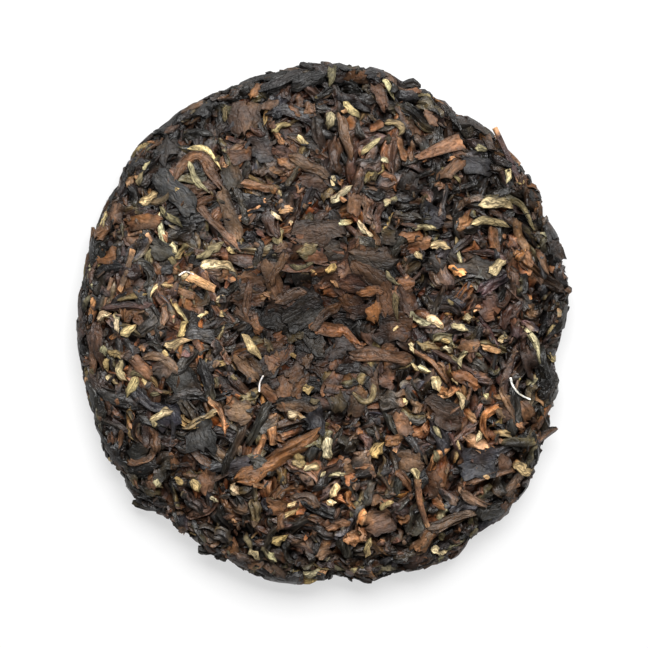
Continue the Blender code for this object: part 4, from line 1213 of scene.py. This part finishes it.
def core_object(upper, lower, material):
    """The filling under the leaves: both skins at the pile's ground, joined at the rim."""
    around = 168
    rings = 60
    turn = math.tau * np.arange(around) / around
    points = []
    for pile in (upper, lower):
        arcs = pile.skin.rim * np.linspace(0, 1, rings + 1)[1:]
        arcs = arcs if pile is upper else arcs[:-1][::-1]
        flat = np.stack((arcs[:, None] * np.cos(turn), arcs[:, None] * np.sin(turn)), axis=-1)
        index = pile.cell(flat)
        raw = (pile.ground - pile.level)[index[..., 0], index[..., 1]] + LEVEL - CORE_COVER
        points.append(pile.skin.to_space(flat, np.clip(raw, CORE_LOWEST, CORE_HIGHEST)))
    grid = np.concatenate(points)
    rows = len(grid)
    index = np.arange(rows * around).reshape(rows, around)
    here, below = index[:-1], index[1:]
    quads = np.stack((here, below, np.roll(below, -1, 1), np.roll(here, -1, 1)), axis=-1).reshape(-1, 4)
    middle = np.stack((grid[0].mean(axis=0), grid[-1].mean(axis=0)))
    top, bottom = rows * around, rows * around + 1
    first, last = index[0], index[-1]
    top_fan = np.stack((np.full(around, top), first, np.roll(first, -1)), axis=-1)
    bottom_fan = np.stack((np.full(around, bottom), np.roll(last, -1), last), axis=-1)
    fans = np.concatenate((top_fan, bottom_fan))
    loops = np.concatenate((quads.ravel(), fans.ravel()))
    sizes = np.concatenate((np.full(len(quads), 4), np.full(len(fans), 3)))
    vertices = np.concatenate((grid.reshape(-1, 3), middle))
    across = vertices[loops][:, :2] / CORE_MAP_SIDE + 0.5
    lower_half = np.repeat(np.arange(len(sizes)), sizes) >= (rings - 1) * around
    uvs = np.stack((across[:, 0] / 2 + 0.5 * lower_half, across[:, 1] / 2), axis=-1)
    plain = np.full((len(vertices), 3), CORE_TINT)
    mesh_object("packed_core", vertices, loops, sizes, plain, vertices.copy(), uvs, material, crease=180)


# ---------------------------------------------------------------- stray leaf ends at the rim
# Kind, angle round the cake in degrees, height, lean from straight out in degrees, reach, width and colour.
STRAY_ENDS = (
    ("stem", 40.1, 14, 75.2, 1.9, 2.7, "umber"),
    ("roll", 71, 11, -68, 0.6, 4.2, "charcoal"),
    ("roll", 92, 13, 62, 0.9, 3.2, "black"),
    ("roll", 163, 9, -70, 1.4, 4.0, "brown"),
    ("roll", 229, 7, -62, 3.4, 4.6, "black"),
    ("roll", 245, 10, -66, 0.8, 4.4, "charcoal"),
    ("roll", 277, 11, 64, 1.5, 4.6, "black"),
    ("roll", 302, 8, -60, 2.0, 4.6, "umber"),
    ("roll", 331, 12, 66, 1.8, 4.0, "red_brown"),
    ("roll", 9, 12, -58, 0.8, 4.4, "rust"),
)
STRAY_ROOT = 9.0  # how much of each is in the cake
STRAY_DEPTH = 2.0  # how far inside the rim it comes out of the leaves round it
STALK_RISE = 0.14  # the slope of the stalk among them
STRAY_TILT = 0.35  # how far their backs face outwards


def add_stray_ends(batch, draw):
    """Leaf ends that stand out from the rim, where the CAD solid has them or, for four, beside those."""
    for kind_name, degrees, height, lean, reach, width, colour in STRAY_ENDS:
        kind = KINDS[kind_name]
        angle = math.radians(degrees)
        heading = angle + math.radians(lean)
        radius = float(rim_radius(np.array([angle]))[0]) - STRAY_DEPTH
        total = STRAY_ROOT + (reach + STRAY_DEPTH) / math.cos(math.radians(lean))
        outward = np.array([math.cos(angle), math.sin(angle)])
        start = np.array([*(radius * outward + DISC_MIDDLE), height])
        rise = STALK_RISE if kind_name == "stem" else draw.uniform(-0.1, 0.1)
        ahead = np.array([math.cos(heading), math.sin(heading), rise])
        up = np.array([*(STRAY_TILT * outward), 1.0])
        side = np.cross(up, ahead)
        side /= np.linalg.norm(side)
        up = np.cross(ahead, side)
        sideways, upwards = kind.section(draw, kind.u, kind.around, width, kind.flatness[1] * width)
        line = start - ahead * STRAY_ROOT + kind.u[:, None] * total * ahead
        placed = line[:, None, :] + sideways[..., None] * side + upwards[..., None] * up
        ends, mixed = ("tan", 0.25) if kind_name == "stem" else (None, 1.0)
        tint = tint_of(draw, colour, kind, 0.2, ends, start[:2], mixed)
        grain = grain_of(draw, kind, total, 2.4 * width)
        batch.pieces.append(Piece(kind_name, None, placed, None, tint, grain))


# ---------------------------------------------------------------- the whole cake
# How often each colour comes, in the layers of leaves.
DARK = {"black": 5, "charcoal": 3.5, "slate": 1.8, "umber": 3.0}
DARKER_BROWN = {"umber": 5, "brown": 3, "black": 1}
CENTRE = {"umber": 5, "brown": 1.5, "red_brown": 0.8, "black": 4}
WARM = {"brown": 4, "red_brown": 3, "rust": 0.9, "umber": 4}
BUD_COLOURS = {"olive": 5, "gold": 2.2, "pale": 2.2, "tan": 1}
BIT_COLOURS = {"cream": 0.3, "tan": 0.5, "rust": 0.7, "brown": 3, "black": 7, "charcoal": 6, "umber": 6}
BEYOND_RIM = 6.0  # how far past the rim the leaves of a face are dropped
CENTRE_RADIUS = 34.0  # the flat leaves in the middle lie within this
LOWER_SHARE = 0.75  # how many leaves the underside has, as a share of those on top


def fill_pile(batches, pile, draw, share, upper):
    """Drops the leaves on one face, the ones that end up deepest first. share scales how many."""
    dark, small, roll = "dark_leaves_lower", "small_dark_leaves_lower", "under_roll"
    if upper:
        dark, small, roll = "dark_leaves_upper", "small_dark_leaves_upper", "roll"
    beyond = pile.skin.rim + BEYOND_RIM

    def strew(name, kind_name, count, lengths, widths, colours, bow, wander, inner=0, outer=beyond, tries=5):
        target = (batches[name], kind_name, pile, draw, int(count * share))
        scatter(*target, lengths, widths, colours, bow, wander, inner, outer, tries)

    strew(dark, "under_roll", 520, (13, 0.3), (4.6, 0.25), DARK, 0.5, 0.25)
    strew("leaf_flakes", "flake", 170, (11, 0.3), (7.0, 0.25), DARKER_BROWN, 0.4, 0.2)
    strew(dark, "lump", 90, (11, 0.25), (8.0, 0.25), DARK, 0.5, 0.25)
    strew(dark, "long_roll", 330, (19, 0.25), (4.4, 0.25), DARK, 1.2, 0.4)
    strew("brown_leaves", roll, 240, (13, 0.3), (4.4, 0.25), WARM, 0.8, 0.3)
    strew("leaf_flakes", "flake", 120, (10, 0.3), (5.5, 0.3), WARM, 0.4, 0.2)
    strew(small, roll, 440, (13, 0.35), (4.2, 0.3), DARK, 1.0, 0.4)
    strew(small, "lump", 60, (10, 0.25), (6.5, 0.25), DARK, 0.5, 0.25, inner=30)
    strew("leaf_stalks", "stem", 36, (11, 0.35), (1.9, 0.25), DARKER_BROWN, 0.1, 0.05)
    strew("golden_buds", "bud", 90 if upper else 180, (11, 0.35), (2.6, 0.3), BUD_COLOURS, 1.4, 0.5)
    strew("leaf_flakes", "flake", 110, (11, 0.3), (6.5, 0.25), CENTRE, 0.3, 0.1, outer=CENTRE_RADIUS)
    if upper:
        mark_leaves(batches, pile, draw, broad=True)
    strew(small, roll, 230, (11, 0.35), (3.4, 0.3), DARK, 1.0, 0.4, tries=9)
    if upper:
        mark_leaves(batches, pile, draw, broad=False)
    strew("leaf_crumbs", "crumb", 700, (2.6, 0.4), (1.8, 0.35), BIT_COLOURS, 0, 0, tries=9)


def make_cake():
    """Drops all the leaves, presses the two piles and makes the cake's objects."""
    draw = np.random.default_rng(SEED)
    # Streaks, contrast, crease, dust, gloss and specular level.
    leaf = leaf_material("dark_rolled_leaf", 1.0, 0.4, 0.5, 0.2, (0.26, 0.42), 0.44)
    brown = leaf_material("brown_rolled_leaf", 1.0, 0.4, 0.28, 0.12, (0.3, 0.5), 0.37)
    flat = leaf_material("flat_leaf_flake", 0.6, 0.32, 0.15, 0.12, (0.36, 0.52), 0.25)
    stalk = leaf_material("leaf_stalk", 1.6, 0.35, 0.4, 0.15, (0.38, 0.55), 0.35)
    downy = leaf_material("downy_bud", 1.5, 0.6, 0.7, 0.1, (0.5, 0.7), 0.25, ruddy=0.0)
    bits = leaf_material("leaf_crumb", 1.6, 0.3, 0.5, 0.3, (0.4, 0.6), 0.34)
    materials = {
        "dark_leaves_upper": leaf,
        "dark_leaves_lower": leaf,
        "small_dark_leaves_upper": leaf,
        "small_dark_leaves_lower": leaf,
        "brown_leaves": brown,
        "leaf_flakes": flat,
        "leaf_stalks": stalk,
        "golden_buds": downy,
        "leaf_crumbs": bits,
        "cloth_threads": bits,
    }
    batches = {name: Batch(name, material) for name, material in materials.items()}
    upper = Pile(Skin(upper_height, lower_height, 1), draw)
    lower = Pile(Skin(lower_height, upper_height, -1), draw)
    fill_pile(batches, upper, draw, share=1.0, upper=True)
    fill_pile(batches, lower, draw, LOWER_SHARE, upper=False)
    threads = batches["cloth_threads"]
    for width, spots in THREADS:
        run = photo_run(upper, spots, KINDS["fibre"])
        drop(threads, "fibre", upper, draw, run, width, "white", mottle=0.05, lift=0.3, mixed=0.0)
    add_stray_ends(batches["brown_leaves"], draw)
    for pile in (upper, lower):
        pile.settle()
    core_object(upper, lower, core_material())
    for batch in batches.values():
        batch_object(batch)


# ---------------------------------------------------------------- floor, light and camera
FLOOR_SIDE = 6.0
FLOOR_HEIGHT = -0.0002
FLOOR_GREY = (0.33, 0.33, 0.33, 1.0)
WHITE = (1.0, 1.0, 1.0, 1.0)
FLOOR_GLOW = 0.58
SKY_STRENGTH = 0.27
SOFTBOX_PLACE = (0.17, 0.88, 1.3)
SOFTBOX_SIZE = (1.6, 1.0)
SOFTBOX_POWER = 47.0
CAMERA_DISTANCE = 1.3
SENSOR = 36.0  # the camera's sensor is this wide, in millimetres


def add_floor():
    """A plain pale floor that glows a little."""
    mesh = bpy.data.meshes.new("floor")
    half = FLOOR_SIDE / 2
    corners = [(x * half, y * half, FLOOR_HEIGHT) for x, y in ((-1, -1), (1, -1), (1, 1), (-1, 1))]
    mesh.from_pydata(corners, [], [(0, 1, 2, 3)])
    floor = bpy.data.objects.new("floor", mesh)
    bpy.context.scene.collection.objects.link(floor)
    nodes = Nodes("pale_floor")
    nodes.shader.inputs["Base Color"].default_value = FLOOR_GREY
    nodes.shader.inputs["Roughness"].default_value = 0.9
    nodes.shader.inputs["Specular IOR Level"].default_value = 0.1
    nodes.shader.inputs["Emission Color"].default_value = WHITE
    nodes.shader.inputs["Emission Strength"].default_value = FLOOR_GLOW
    mesh.materials.append(nodes.material)


def add_softbox():
    """The main light, turned towards the cake."""
    lamp = bpy.data.lights.new("key_light", "AREA")
    lamp.shape = "RECTANGLE"
    lamp.size, lamp.size_y = SOFTBOX_SIZE
    lamp.energy = SOFTBOX_POWER
    thing = bpy.data.objects.new("key_light", lamp)
    thing.location = SOFTBOX_PLACE
    thing.rotation_mode = "QUATERNION"
    thing.rotation_quaternion = Vector(SOFTBOX_PLACE).to_track_quat("Z", "Y")
    bpy.context.scene.collection.objects.link(thing)


def add_world():
    """Even light from all sides."""
    world = bpy.data.worlds.new("studio")
    world.use_nodes = True
    background = world.node_tree.nodes["Background"]
    background.inputs["Color"].default_value = WHITE
    background.inputs["Strength"].default_value = SKY_STRENGTH
    bpy.context.scene.world = world


def add_camera():
    """A camera straight above the cake, where the photograph's was."""
    camera = bpy.data.cameras.new("camera")
    camera.sensor_fit = "HORIZONTAL"
    camera.sensor_width = SENSOR
    across = PHOTO_SIZE * PHOTO_PIXEL * MM
    camera.lens = SENSOR * (CAMERA_DISTANCE - RIM_HEIGHT * MM) / across
    thing = bpy.data.objects.new("camera", camera)
    middle = PHOTO_SIZE / 2
    x = (middle - PHOTO_MIDDLE[0]) * PHOTO_PIXEL + DISC_MIDDLE[0]
    y = (PHOTO_MIDDLE[1] - middle) * PHOTO_PIXEL + DISC_MIDDLE[1]
    thing.location = (x * MM, y * MM, CAMERA_DISTANCE)
    bpy.context.scene.collection.objects.link(thing)
    bpy.context.scene.camera = thing


make_cake()
add_floor()
add_world()
add_softbox()
add_camera()
bpy.context.scene.view_settings.view_transform = "Standard"
